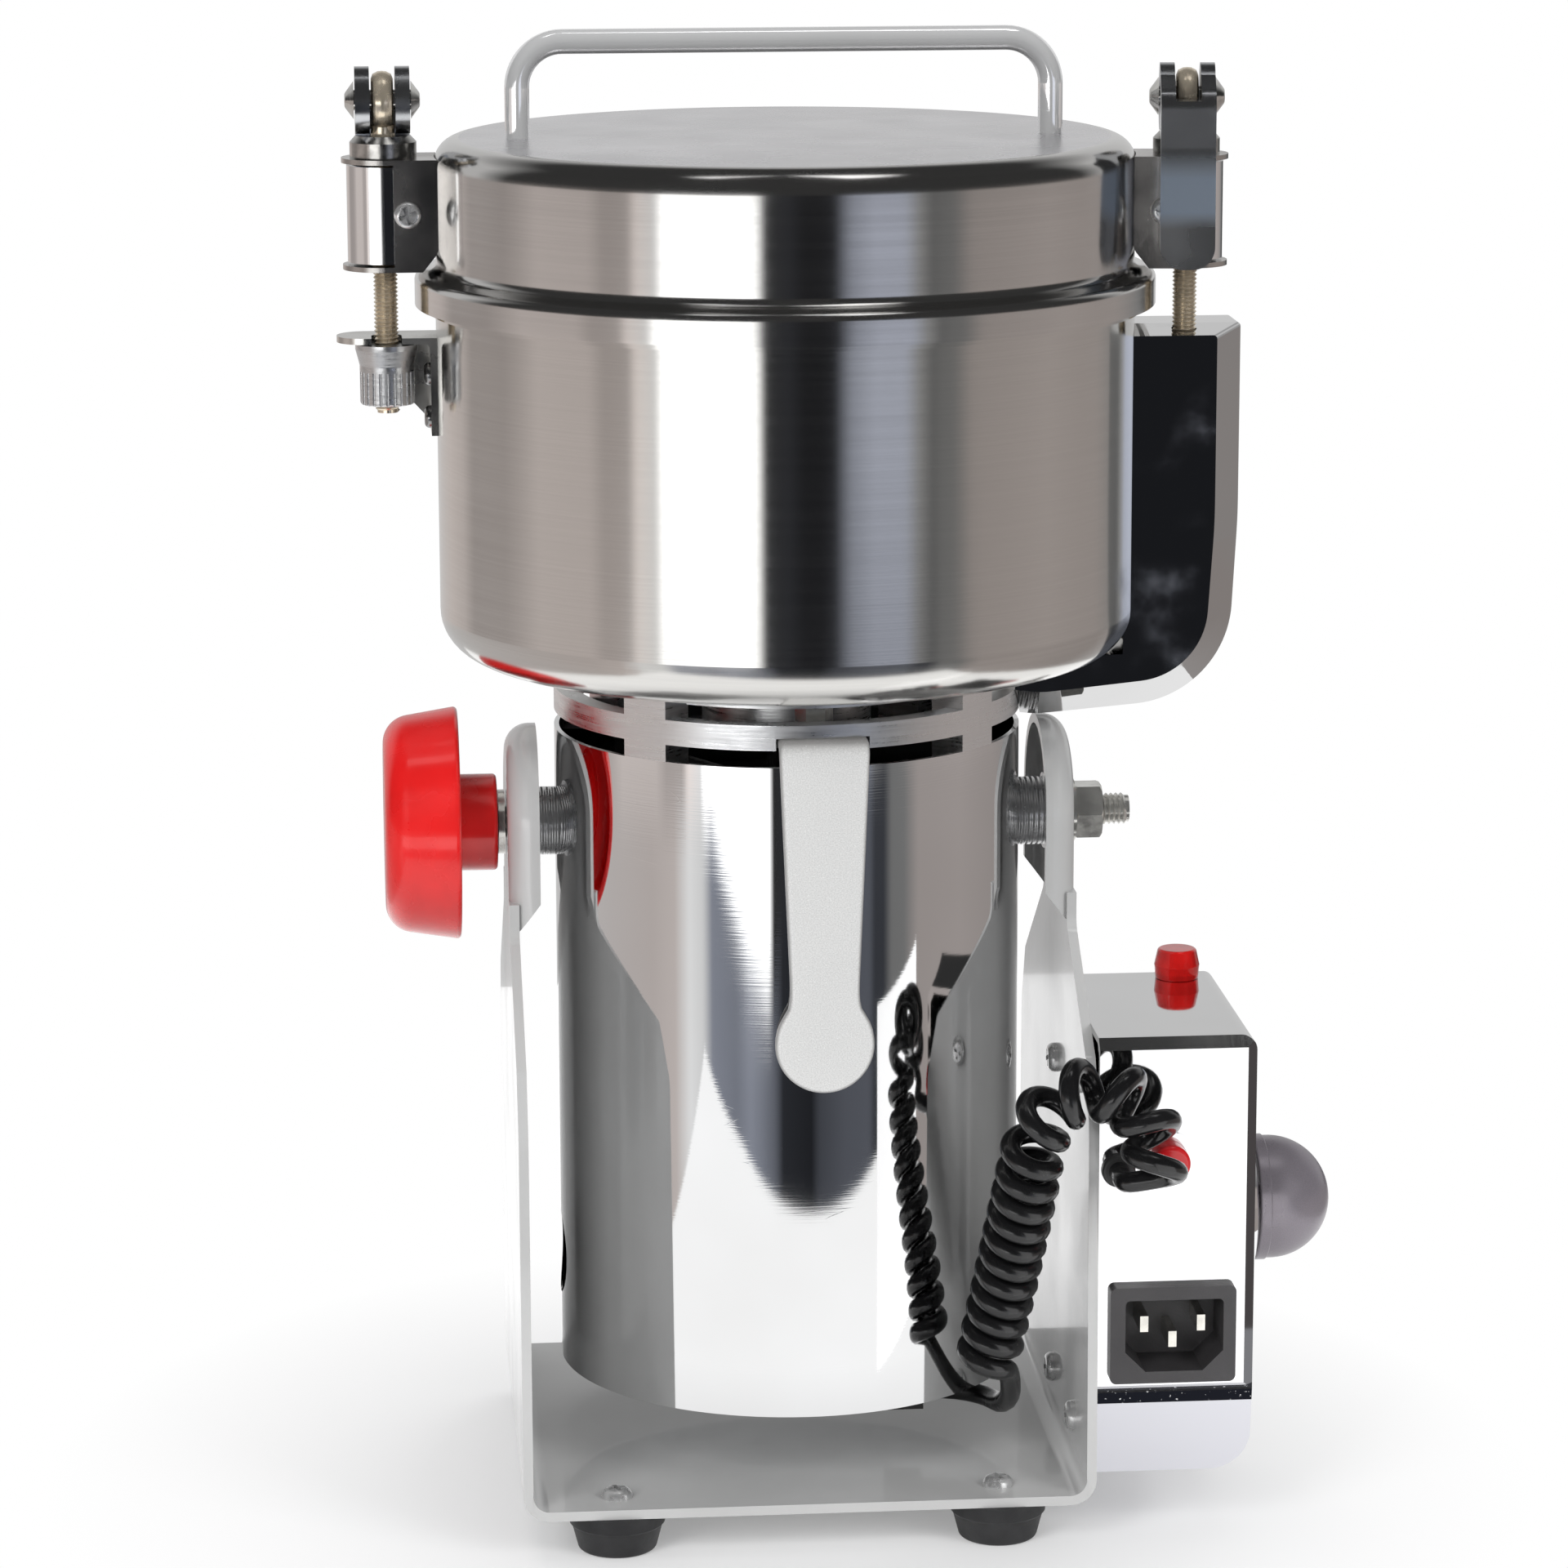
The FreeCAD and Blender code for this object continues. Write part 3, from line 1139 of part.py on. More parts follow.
def make_eye_bolt(low):
    shank = rod_z(EYE_BOLT_DIA, low, EYE_Z, -CLAMP_REACH, 0)
    eye = rod_x(EYE_DIA, -CLAMP_REACH - EYE_WIDTH / 2, -CLAMP_REACH + EYE_WIDTH / 2, 0, EYE_Z)
    pin = rod_x(CAM_PIN_DIA, -CLAMP_REACH - EYE_DIA, -CLAMP_REACH + EYE_DIA, 0, EYE_Z)
    return fused([shank, eye]).cut(pin)


def left_bolt_low():
    return EAR_TOP - EAR_SHEET - NUT_TOP_GAP - KNURL_LENGTH - BOLT_TAIL


def make_cam_pin():
    """Rivet through both cheeks and the eye, with domed heads."""
    x = -CLAMP_REACH
    reach = FORK_WIDTH / 2 + SIDE_GAP
    head = CAM_PIN_HEAD_DIA / 2
    shank = CAM_PIN_DIA / 2
    return turned_x([
        (x - reach - CAM_PIN_HEAD, 0), (x - reach - CAM_PIN_HEAD, 1.6, 1.2), (x - reach, head),
        (x - reach, shank), (x + reach, shank), (x + reach, head),
        (x + reach + CAM_PIN_HEAD, 1.6, 1.2), (x + reach + CAM_PIN_HEAD, 0),
    ], 0, EYE_Z)


def make_cam_washer():
    return tube_z(CAM_WASHER_DIA, EYE_BOLT_DIA, BRACKET_HIGH, BRACKET_HIGH + CAM_WASHER_THICK, -CLAMP_REACH, 0)


def make_cam_saddle():
    low = BRACKET_HIGH + CAM_WASHER_THICK
    outer, top = CAM_WASHER_DIA / 2, CAM_SADDLE_DIA / 2
    bore = EYE_BOLT_DIA / 2
    return turned_z([(bore, low), (outer, low), (top, CAM_SADDLE_TOP), (bore, CAM_SADDLE_TOP)],
                    -CLAMP_REACH, 0)


def make_lever(front):
    """Forked cam lever: two round cheeks on the pin and a plate that hangs in front or behind."""
    x = -CLAMP_REACH
    radius = CHEEK_DIA / 2
    near = -(SLEEVE_DIA / 2 + BRACKET_SHEET + BRACKET_SCREW_HEAD + SIDE_GAP)
    far = near - LEVER_PLATE
    profile = [
        (near, LEVER_ROOT_Z - 6, 8.0), (near - LEVER_KICK, LEVER_TIP_Z), (far - LEVER_KICK, LEVER_TIP_Z),
        (far, LEVER_ROOT_Z - 8, 8.0), (far, EYE_Z + 1.5, 5.0), (-radius + 2.5, EYE_Z + radius - 2.4, 3.0),
        (0, EYE_Z + radius), (0, EYE_Z - radius), (-radius + 1.0, EYE_Z - radius + 1.0),
    ]
    half = FORK_WIDTH / 2
    plate = slab_x(profile, x - half, x + half)
    head = rod_x(CHEEK_DIA, x - half, x + half, 0, EYE_Z)
    lever = fused([plate, head])
    gap = half - CHEEK_WALL
    slot = block(x - gap, x + gap, far - EPS, radius + EPS, EYE_Z, EYE_Z + radius + EPS)
    throat = block(x - gap, x + gap, -EYE_DIA / 2 - 1.6, radius + EPS, EYE_Z - radius - EPS, EYE_Z + EPS)
    bore = rod_x(CAM_PIN_DIA + 2 * RUN_GAP, x - half - EPS, x + half + EPS, 0, EYE_Z)
    lever = less(lever, [slot, throat, bore])
    tips = [e for e in lever.Edges
            if abs(e.BoundBox.ZMax - LEVER_TIP_Z) < 0.01 and e.BoundBox.YMax - e.BoundBox.YMin > 1.0
            and e.BoundBox.XMax - e.BoundBox.XMin < 0.01]
    lever = lever.makeFillet(half - 1.2, tips)
    if front:
        return lever
    return turned_about(lever, 180, x, 0)


# Slotted ear and knurled nut

def make_slotted_ear():
    """Bent sheet on the drum: a slotted shelf open to the front, a riveted leg and a gusset behind."""
    low = EAR_TOP - EAR_SHEET
    leg = -DRUM_R - EAR_SHEET
    root = -DRUM_R + 2 * EPS
    corner = (EAR_FRONT + EAR_BACK) / 2 - SIDE_GAP
    plate = slab_z([
        (root, -EAR_FRONT), (root, EAR_BACK), (-EAR_OUT, EAR_BACK, corner), (-EAR_OUT, -EAR_FRONT, corner),
    ], low, EAR_TOP)
    wall = slab_y([
        (root, EAR_TOP), (leg, EAR_TOP), (leg, EAR_LEG_LOW), (root, EAR_LEG_LOW),
    ], -EAR_FRONT, EAR_BACK)
    bend = fused([plate, wall])
    outer = [e for e in bend.Edges
             if abs(e.BoundBox.XMin - leg) < 0.01 and abs(e.BoundBox.XMax - leg) < 0.01
             and abs(e.BoundBox.ZMin - low) < 0.01 and abs(e.BoundBox.ZMax - low) < 0.01]
    bend = bend.makeFillet(EAR_BEND, outer)
    gusset = slab_y([
        (-DRUM_R, EAR_TOP), (-EAR_OUT + EAR_GUSSET_SHORT, EAR_TOP),
        (-EAR_OUT + EAR_GUSSET_SHORT, low - EAR_GUSSET_DROP), (leg, EAR_GUSSET_LOW),
        (-DRUM_R, EAR_GUSSET_LOW),
    ], EAR_BACK - EAR_SHEET, EAR_BACK)
    ear = fused([bend, gusset])
    slot = block(-CLAMP_REACH - EAR_SLOT_WIDTH / 2, -CLAMP_REACH + EAR_SLOT_WIDTH / 2, -EAR_FRONT - EPS, 0,
                 low - EPS, EAR_TOP + EPS)
    slot_end = rod_z(EAR_SLOT_WIDTH, low - EPS, EAR_TOP + EPS, -CLAMP_REACH, 0)
    drum = rod_z(2 * DRUM_R, EAR_LEG_LOW - EPS, EAR_TOP + EPS)
    rivets = [rod_x(EAR_RIVET_DIA, leg - EPS, -DRUM_R + 3 * EPS, 0, z) for z in EAR_RIVET_Z]
    return less(ear, [slot, slot_end, drum] + rivets)


def make_ear_rivet(z):
    leg = -DRUM_R - EAR_SHEET
    head, shank = EAR_RIVET_HEAD_DIA / 2, EAR_RIVET_DIA / 2
    rivet = turned_x([
        (leg - EAR_RIVET_HEAD, 0), (leg - EAR_RIVET_HEAD, head, 1.3), (leg, head), (leg, shank),
        (-DRUM_IN_R + 1.2, shank), (-DRUM_IN_R + 1.2, 0),
    ], 0, z)
    return rivet


def make_knurled_nut():
    top = EAR_TOP - EAR_SHEET - NUT_TOP_GAP
    low = top - KNURL_LENGTH
    flare, body = KNURL_FLARE_DIA / 2, KNURL_DIA / 2
    bore = EYE_BOLT_DIA / 2 + RUN_GAP
    nut = turned_z([
        (bore, low), (body, low, 0.8), (body, top - KNURL_FLARE * 2, 1.0), (flare, top - KNURL_FLARE / 2),
        (flare, top), (bore, top),
    ], -CLAMP_REACH, 0)
    flutes = []
    for k in range(KNURL_FLUTES):
        angle = k * TAU / KNURL_FLUTES
        x = -CLAMP_REACH + body * math.cos(angle)
        y = body * math.sin(angle)
        flutes.append(rod_z(KNURL_FLUTE_DIA, low - EPS, low + KNURL_LENGTH * 0.55, x, y))
    return less(nut, flutes)


# Control box

def box_outline(inset):
    """Front view of the box, (x, z), grown inwards by inset; open to the arm."""
    low, high, out = BOX_LOW + inset, BOX_TOP - inset, BOX_OUT - inset
    return [
        (ARM_OUT, low), (out, low, BOX_ROUND_LOW - inset), (out, high, BOX_ROUND_HIGH - inset), (ARM_OUT, high),
    ]


def box_form(inset):
    """The box as a solid, inset on every side except the open one."""
    front, back = -BOX_FRONT + inset, BOX_BACK - inset
    low, high = BOX_LOW + inset, BOX_TOP - inset
    out = BOX_OUT - inset
    body = slab_y(box_outline(inset), front, back)
    side = slab_x([
        (front + BOX_BEVEL, high), (front, high - BOX_BEVEL), (front, BOX_CHIN_TOP + BOX_BEVEL),
        (front + BOX_BEVEL, BOX_CHIN_TOP), (front + BOX_CHIN_SET, low), (back, low, BOX_EDGE_ROUND - inset),
        (back, high, BOX_EDGE_ROUND - inset),
    ], ARM_OUT - EPS, out + EPS)
    plan = slab_z([
        (ARM_OUT, front), (out - BOX_BEVEL, front), (out, front + BOX_BEVEL),
        (out, back, BOX_EDGE_ROUND - inset), (ARM_OUT, back),
    ], low - EPS, high + EPS)
    return body.common(side).common(plan)


def make_control_box():
    """Chromed cover, closed by the arm: bevelled front edge and a chin that slopes back."""
    body = box_form(0)
    cover = body.cut(box_form(BOX_WALL))
    for y, z in BOX_SCREWS:
        cover = cover.fuse(rod_x(BOX_POST_DIA, ARM_OUT, BOX_OUT - BOX_WALL / 2, y, z))
    tools = []
    for y, z in BOX_SCREWS:
        tools.append(rod_x(BOX_SCREW_DIA, ARM_OUT - EPS, ARM_OUT + BOX_SCREW_REACH, y, z))
    front_low, front_high = -BOX_FRONT - EPS, -BOX_FRONT + BOX_WALL + EPS
    tools.append(block(*INLET_BODY_X, front_low, front_high, *INLET_BODY_Z))
    tools.append(rod_y(RESET_DIA, front_low, front_high, RESET_X, RESET_Z))
    tools.append(rod_y(GLAND_DIA - 2 * GLAND_NECK_STEP, front_low, front_high, GLAND_X, GLAND_Z))
    tools.append(rod_z(LAMP_DIA, BOX_TOP - 4 * EPS, BOX_TOP + EPS, LENS_X, LENS_Y))
    tools.append(rod_x(TIMER_SHAFT_DIA + 4, BOX_OUT - 4 * EPS, BOX_OUT + EPS, DIAL_Y, DIAL_Z))
    return less(cover, tools).removeSplitter()


def make_box_screw(y, z):
    head, shank = BOX_SCREW_HEAD_DIA / 2, BOX_SCREW_DIA / 2
    face = ARM_X - BOX_SCREW_HEAD
    screw = turned_x([
        (face, 0), (face, head, 1.6), (ARM_X, head), (ARM_X, shank),
        (ARM_OUT + BOX_SCREW_REACH, shank), (ARM_OUT + BOX_SCREW_REACH, 0),
    ], y, z)
    return with_cross(screw, vec(face, y, z), vec(0, 1, 0), -90)


def make_inlet_body():
    x0, x1 = INLET_X
    z0, z1 = INLET_Z
    flange = slab_y([(x0, z0, 1.6), (x1, z0, 1.6), (x1, z1, 1.6), (x0, z1, 1.6)],
                    -BOX_FRONT - INLET_FLANGE, -BOX_FRONT)
    bx0, bx1 = INLET_BODY_X
    bz0, bz1 = INLET_BODY_Z
    body = block(bx0, bx1, -BOX_FRONT, -BOX_FRONT + INLET_DEPTH, bz0, bz1)
    rx0, rx1 = RECESS_X
    rz0, rz1 = RECESS_Z
    recess = slab_y([
        (rx0 + RECESS_CHAMFER, rz0), (rx1 - RECESS_CHAMFER, rz0), (rx1, rz0 + RECESS_CHAMFER),
        (rx1, rz1, 1.2), (rx0, rz1, 1.2), (rx0, rz0 + RECESS_CHAMFER),
    ], -BOX_FRONT - INLET_FLANGE - EPS, -BOX_FRONT - INLET_FLANGE + RECESS_DEPTH)
    inlet = fused([flange, body]).cut(recess)
    tools = []
    for x, z in PIN_PLACES:
        tools.append(pin_block(x, z, -BOX_FRONT, BOX_BACK))
    return less(inlet, tools)


def pin_block(x, z, y0, y1):
    width, height = PIN_SIZE
    return block(x - width / 2, x + width / 2, y0, y1, z - height / 2, z + height / 2)


def make_inlet_pin(x, z):
    floor = -BOX_FRONT - INLET_FLANGE + RECESS_DEPTH
    return pin_block(x, z, floor - PIN_LENGTH, -BOX_FRONT + INLET_DEPTH + 6)


def make_breaker():
    """Overload breaker behind the front, with a threaded neck and a collar that hold it."""
    width, depth, height = BREAKER_SIZE
    wall_in = -BOX_FRONT + BOX_WALL
    body = block(RESET_X - width / 2, RESET_X + width / 2, wall_in, wall_in + depth,
                 RESET_Z - height / 2, RESET_Z + height / 2)
    collar = rod_y(RESET_COLLAR_DIA, -BOX_FRONT - RESET_COLLAR, -BOX_FRONT, RESET_X, RESET_Z)
    neck = rod_y(RESET_DIA, -BOX_FRONT, wall_in, RESET_X, RESET_Z)
    well = rod_y(button_dia() + 2 * RUN_GAP, -BOX_FRONT - RESET_COLLAR - EPS,
                 wall_in + RESET_TRAVEL + SIDE_GAP, RESET_X, RESET_Z)
    return fused([body, collar, neck]).cut(well)


def button_dia():
    return RESET_DIA - 1.6


def make_reset_button():
    """Round push button with a domed face, guided by the neck of the breaker."""
    tip = -BOX_FRONT - RESET_COLLAR - RESET_PROUD
    back = -BOX_FRONT + BOX_WALL
    button = rod_y(button_dia(), tip, back, RESET_X, RESET_Z)
    rim = [e for e in button.Edges if abs(e.BoundBox.YMax - tip) < 0.01]
    return button.makeFillet(1.2, rim)


def make_indicator_lens():
    base, top = LENS_DIA / 2, LENS_TOP_DIA / 2
    z0 = BOX_TOP
    return turned_z([
        (0, z0), (base, z0, 0.4), (base + 0.3, z0 + LENS_HEIGHT * 0.45, 0.4),
        (top, z0 + LENS_HEIGHT, 0.8), (0, z0 + LENS_HEIGHT),
    ], LENS_X, LENS_Y)


def make_indicator_lamp():
    return rod_z(LAMP_DIA, BOX_TOP - LAMP_LENGTH, BOX_TOP, LENS_X, LENS_Y)


def make_timer_body():
    depth, width, height = TIMER_SIZE
    wall = BOX_OUT - BOX_WALL
    half, rise = width / 2, height / 2
    body = block(wall - depth, wall, DIAL_Y - half, DIAL_Y + half, DIAL_Z - rise, DIAL_Z + rise)
    room_dia = TIMER_SHAFT_DIA + 2 * RUN_GAP
    neck = tube_x(TIMER_SHAFT_DIA + 2 * TIMER_NECK_WALL, room_dia, wall, BOX_OUT, DIAL_Y, DIAL_Z)
    shaft_room = rod_x(room_dia, wall - TIMER_SHAFT_INSIDE - SIDE_GAP, wall + EPS, DIAL_Y, DIAL_Z)
    return fused([body.cut(shaft_room), neck])


def make_timer_bezel():
    radius = DIAL_DIA / 2
    bore = TIMER_SHAFT_DIA / 2 + SIDE_GAP
    top = BOX_OUT + DIAL_HEIGHT
    return turned_x([
        (BOX_OUT, bore), (BOX_OUT, radius), (BOX_OUT + EPS, radius, 0.6), (top, radius - DIAL_RIM, 1.0),
        (top - DIAL_SINK, radius - DIAL_RIM - DIAL_BEVEL, 0.5), (top - DIAL_SINK, bore),
    ], DIAL_Y, DIAL_Z)


def make_timer_knob():
    """Domed knob with a band at its base, on the shaft of the timer."""
    band, dome = KNOB_BASE_DIA / 2, KNOB_BASE_DIA / 2 - KNOB_STEP
    shaft = TIMER_SHAFT_DIA / 2
    tail = BOX_OUT - BOX_WALL - TIMER_SHAFT_INSIDE
    return turned_x([
        (tail, 0), (tail, shaft), (KNOB_FROM, shaft), (KNOB_FROM, band, 0.6),
        (KNOB_FROM + KNOB_BAND, band, 0.3), (KNOB_FROM + KNOB_BAND, dome), (KNOB_TO, dome, dome - 0.2),
        (KNOB_TO, 0),
    ], DIAL_Y, DIAL_Z)


# Curly cord

def make_box_gland():
    wall_in = -BOX_FRONT + BOX_WALL
    flange = rod_y(GLAND_DIA, GLAND_Y, -BOX_FRONT, GLAND_X, GLAND_Z)
    rim = [e for e in flange.Edges if abs(e.BoundBox.YMax - GLAND_Y) < 0.01]
    flange = flange.makeFillet(GLAND_EDGE_ROUND, rim)
    neck = rod_y(GLAND_DIA - 2 * GLAND_NECK_STEP, -BOX_FRONT, wall_in, GLAND_X, GLAND_Z)
    tail = rod_y(GLAND_DIA, wall_in, wall_in + GLAND_INSIDE, GLAND_X, GLAND_Z)
    return fused([flange, neck, tail])


def make_motor_gland():
    width, depth = MOTOR_GLAND_SIZE
    low = CAP_GLAND_Z - WIRE_DIA / 2 - 1.5
    return block(CAP_GLAND_X - width, CAP_GLAND_X, CAP_GLAND_Y - depth / 2, CAP_GLAND_Y + depth / 2,
                 low, SHELL_BOTTOM)


def from_arm(point):
    """A point of the cord, given from the outer face of the right arm."""
    return vec(ARM_OUT + point[0], point[1], point[2])


def coil_axis():
    """The line that the curls wind round, a smooth curve with the axis points as its poles."""
    curve = Part.BSplineCurve()
    poles = [from_arm(point) for point in COIL_AXIS]
    spans = len(poles) - 2
    knots = [float(i) for i in range(spans + 1)]
    curve.buildFromPolesMultsKnots(poles, [3] + [1] * (spans - 1) + [3], knots, False, 2)
    return curve


def smooth(t):
    t = max(0.0, min(1.0, t))
    return t * t * (3 - 2 * t)


def curl_pitch(length):
    """Wide curls where the coil arches over, close ones where it hangs."""
    return ARCH_PITCH + (CURL_PITCH - ARCH_PITCH) * smooth((length - ARCH_LENGTH) / PITCH_BLEND)


def curl_spots(steps=3000):
    """Points and directions of the wire: one after the first quarter turn, then at each half turn."""
    curve = coil_axis()
    total = curve.length()
    step = total / steps
    winds = [0.0]
    for i in range(steps):
        winds.append(winds[-1] + step / curl_pitch((i + 0.5) * step))
    side = vec(1, 0, 0)
    line = []
    for i in range(steps + 1):
        u = curve.parameterAtDistance(min(total, i * step), curve.FirstParameter)
        tangent = curve.tangent(u)[0]
        tangent.normalize()
        side = side - tangent * side.dot(tangent)
        side.normalize()
        up = tangent.cross(side)
        angle = math.radians(CURL_START) - TAU * CURL_TURNS * winds[i] / winds[-1]
        line.append(curve.value(u) + (side * math.cos(angle) + up * math.sin(angle)) * CURL_RADIUS)
    spots = []
    quarters = int(CURL_TURNS * 4)
    marks = [winds[-1] * k / quarters for k in [0] + list(range(1, quarters + 1, 2))]
    i = 0
    for mark in marks:
        while i < steps and winds[i] < mark:
            i += 1
        low, high = max(i - 1, 0), min(i + 1, steps)
        tangent = line[high] - line[low]
        tangent.normalize()
        spots.append((line[i], tangent))
    return spots


def biarc(p0, t0, p1, t1):
    """Two tangent arcs from p0 along t0 to p1 along t1."""
    v = p1 - p0
    t = t0 + t1
    a = 2 * (1 - t0.dot(t1))
    b = 2 * v.dot(t)
    c = -v.dot(v)
    if abs(a) < 1e-9:
        d = -c / b
    else:
        d = (-b + math.sqrt(max(0.0, b * b - 4 * a * c))) / (2 * a)
    joint = (p0 + p1 + (t0 - t1) * d) * 0.5
    return [arc_from(p0, t0, joint), arc_from(p1, t1 * -1.0, joint, True)]


def arc_from(start, tangent, end, reverse=False):
    chord = end - start
    across = chord - tangent * chord.dot(tangent)
    if across.Length < 1e-5:
        if reverse:
            return Part.LineSegment(end, start).toShape()
        return Part.LineSegment(start, end).toShape()
    normal = vec(across.x, across.y, across.z)
    normal.normalize()
    radius = chord.dot(chord) / (2 * chord.dot(normal))
    centre = start + normal * radius
    middle = (start + end) * 0.5 - centre
    middle.normalize()
    far = centre + middle * radius
    if reverse:
        return Part.Arc(end, far, start).toShape()
    return Part.Arc(start, far, end).toShape()


def make_curly_cord():
    """One unbroken wire: straight out of the gland, round the curls, and under the motor."""
    out = vec(0, -1, 0)
    inwards = vec(-1, 0, 0)
    start = from_arm(CORD_START)
    end = from_arm(CORD_END)
    spots = [(start + out * WIRE_DIA, out)] + curl_spots()
    for point, direction in CORD_TAIL:
        heading = vec(*direction)
        heading.normalize()
        spots.append((from_arm(point), heading))
    spots.append((end - inwards * WIRE_DIA, inwards))
    edges = [Part.LineSegment(start, spots[0][0]).toShape()]
    for (p0, t0), (p1, t1) in zip(spots[:-1], spots[1:]):
        edges.extend(biarc(p0, t0, p1, t1))
    edges.append(Part.LineSegment(spots[-1][0], end).toShape())
    radii = [e.Curve.Radius for e in edges if hasattr(e.Curve, "Radius")]
    path = Part.Wire(edges)
    section = Part.Wire([Part.makeCircle(WIRE_DIA / 2, start, out)])
    cord = path.makePipeShell([section], True, False)
    expected = math.pi * WIRE_DIA ** 2 / 4 * path.Length
    print("cord length", round(path.Length, 1), "least radius", round(min(radii), 2),
          "gap to itself", round(cord_gap(path), 2), "volume share", round(cord.Volume / expected, 4))
    return cord


def cord_gap(path):
    """Least distance between stretches of the wire that are more than half a turn apart."""
    spacing = 1.0
    dots = path.discretize(Distance=spacing)
    skip = int(math.pi * CURL_RADIUS / spacing)
    least = 1e9
    for i in range(0, len(dots)):
        for j in range(i + skip, min(i + 5 * skip, len(dots))):
            least = min(least, (dots[i] - dots[j]).Length)
    return least - WIRE_DIA


def main():
    os.makedirs("parts", exist_ok=True)
    save("yoke", [make_yoke()])
    save("rubber_feet", [make_foot(x, y) for x, y in foot_places()])
    save("foot_screws", [make_foot_screw(x, y) for x, y in foot_places()]
         + [make_foot_nut(x, y) for x, y in foot_places()])
    save("control_box", [make_control_box()])
    save("box_screws", [make_box_screw(y, z) for y, z in BOX_SCREWS])
    save("inlet_body", [make_inlet_body()])
    save("inlet_pins", [make_inlet_pin(x, z) for x, z in PIN_PLACES])
    save("overload_breaker", [make_breaker()])
    save("reset_button", [make_reset_button()])
    save("indicator_lens", [make_indicator_lens()])
    save("indicator_lamp", [make_indicator_lamp()])
    save("timer_body", [make_timer_body()])
    save("timer_bezel", [make_timer_bezel()])
    save("timer_knob", [make_timer_knob()])
    save("cord_gland_box", [make_box_gland()])
    save("cord_gland_motor", [make_motor_gland()])
    save("curly_cord", [make_curly_cord()])
    save("pivot_studs", [make_pivot_stud(-1), make_pivot_stud(1)])
    save("pivot_spacers", [make_pivot_spacer(-1), make_pivot_spacer(1)])
    save("pivot_washers", [make_pivot_washer(-1), make_pivot_washer(1)])
    save("pivot_nut", [make_lock_nut()])
    save("lock_knob", [make_lock_knob()])
    save("motor_shell", [make_motor_shell()])
    save("motor_ring", [make_motor_ring()])
    save("bottom_cap", [make_bottom_cap()])
    save("shaft_bearings", [make_bearing(UPPER_BEARING, SHAFT_DIA, UPPER_BEARING_Z),
                            make_bearing(LOWER_BEARING, LOWER_SHAFT_DIA, LOWER_BEARING_Z)])
    save("stator_core", [make_stator()])
    save("field_coils", [make_field_coil(-1), make_field_coil(1)])
    save("brush_holders", [make_brush_holder(-1), make_brush_holder(1)])
    save("carbon_brushes", [make_brush(-1), make_brush(1)])
    save("rotor_shaft", [make_rotor_shaft()])
    save("armature", [make_armature()])
    save("commutator", [make_commutator()])
    save("cooling_fan", [make_cooling_fan()])
    save("shaft_seal", [make_shaft_seal()])
    save("blade_hub", [make_blade_hub(), make_blade_spacer(0), make_blade_spacer(1)])
    save("blades", [make_blade(k) for k in range(len(BLADE_LEVELS))])
    save("blade_nut", [make_blade_nut()])
    save("drum", [make_drum()])
    save("drum_bolts", [make_drum_bolt(x, y) for x, y in drum_bolt_places()])
    save("drum_nuts", [make_drum_nut(x, y) for x, y in drum_bolt_places()])
    save("front_strap", [make_front_strap()])
    save("strap_pad", [make_strap_pad()])
    save("side_handle", [make_side_handle()])
    save("grip_screws", [make_grip_screw(z) for z in GRIP_SCREW_Z])
    save("slotted_ear", [make_slotted_ear()])
    save("ear_rivets", [make_ear_rivet(z) for z in EAR_RIVET_Z])
    save("knurled_nut", [make_knurled_nut()])
    save("lid_shell", [make_lid_shell()])
    save("lid_gasket", [make_lid_gasket()])
    save("lid_handle", [make_lid_handle()])
    save("lid_brackets", clamp_pair(make_bracket()))
    save("bolt_sleeves", clamp_pair(make_sleeve()))
    save("bracket_screws", [make_bracket_screw(-1), make_bracket_screw(1)] + clamp_pair(make_bracket_nut()))
    right_bolt = make_eye_bolt(GRIP_TOP - GRIP_BOLT_DEPTH + SIDE_GAP)
    eye_bolts = [make_eye_bolt(left_bolt_low()), clamp_pair(right_bolt)[1]]
    save("eye_bolts", eye_bolts)
    save("cam_pins", clamp_pair(make_cam_pin()))
    save("cam_washers", clamp_pair(make_cam_washer()) + clamp_pair(make_cam_saddle()))
    save("left_lever", [make_lever(False)])
    save("right_lever", [clamp_pair(make_lever(True))[1]])


main()
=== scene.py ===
"""Looks of the electric spice grinder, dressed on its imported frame. Metres."""

import json
import math

import bmesh
import bpy
from mathutils import Matrix, Vector


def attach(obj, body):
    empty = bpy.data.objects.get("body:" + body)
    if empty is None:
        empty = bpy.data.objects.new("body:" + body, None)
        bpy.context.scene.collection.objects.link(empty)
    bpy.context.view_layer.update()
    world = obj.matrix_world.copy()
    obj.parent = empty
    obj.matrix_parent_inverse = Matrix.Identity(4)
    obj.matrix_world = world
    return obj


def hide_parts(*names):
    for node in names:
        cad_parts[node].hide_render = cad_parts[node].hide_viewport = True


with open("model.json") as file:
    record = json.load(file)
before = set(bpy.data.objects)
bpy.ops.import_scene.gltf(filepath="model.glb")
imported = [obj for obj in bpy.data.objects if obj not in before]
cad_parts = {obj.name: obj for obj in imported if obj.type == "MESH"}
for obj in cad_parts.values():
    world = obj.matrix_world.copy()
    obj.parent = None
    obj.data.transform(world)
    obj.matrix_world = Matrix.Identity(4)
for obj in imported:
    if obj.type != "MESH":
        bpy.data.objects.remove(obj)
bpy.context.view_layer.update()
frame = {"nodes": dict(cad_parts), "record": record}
nodes = frame["nodes"]

# The camera of the main view
CAMERA_PLACE = Vector((-0.1111, -1.3008, 0.4607))
CAMERA_LOOKS_AT = Vector((-0.00064, 0.0, 0.17843))
CAMERA_ROLL = math.radians(-0.17)
CAMERA_LENS = 122.87

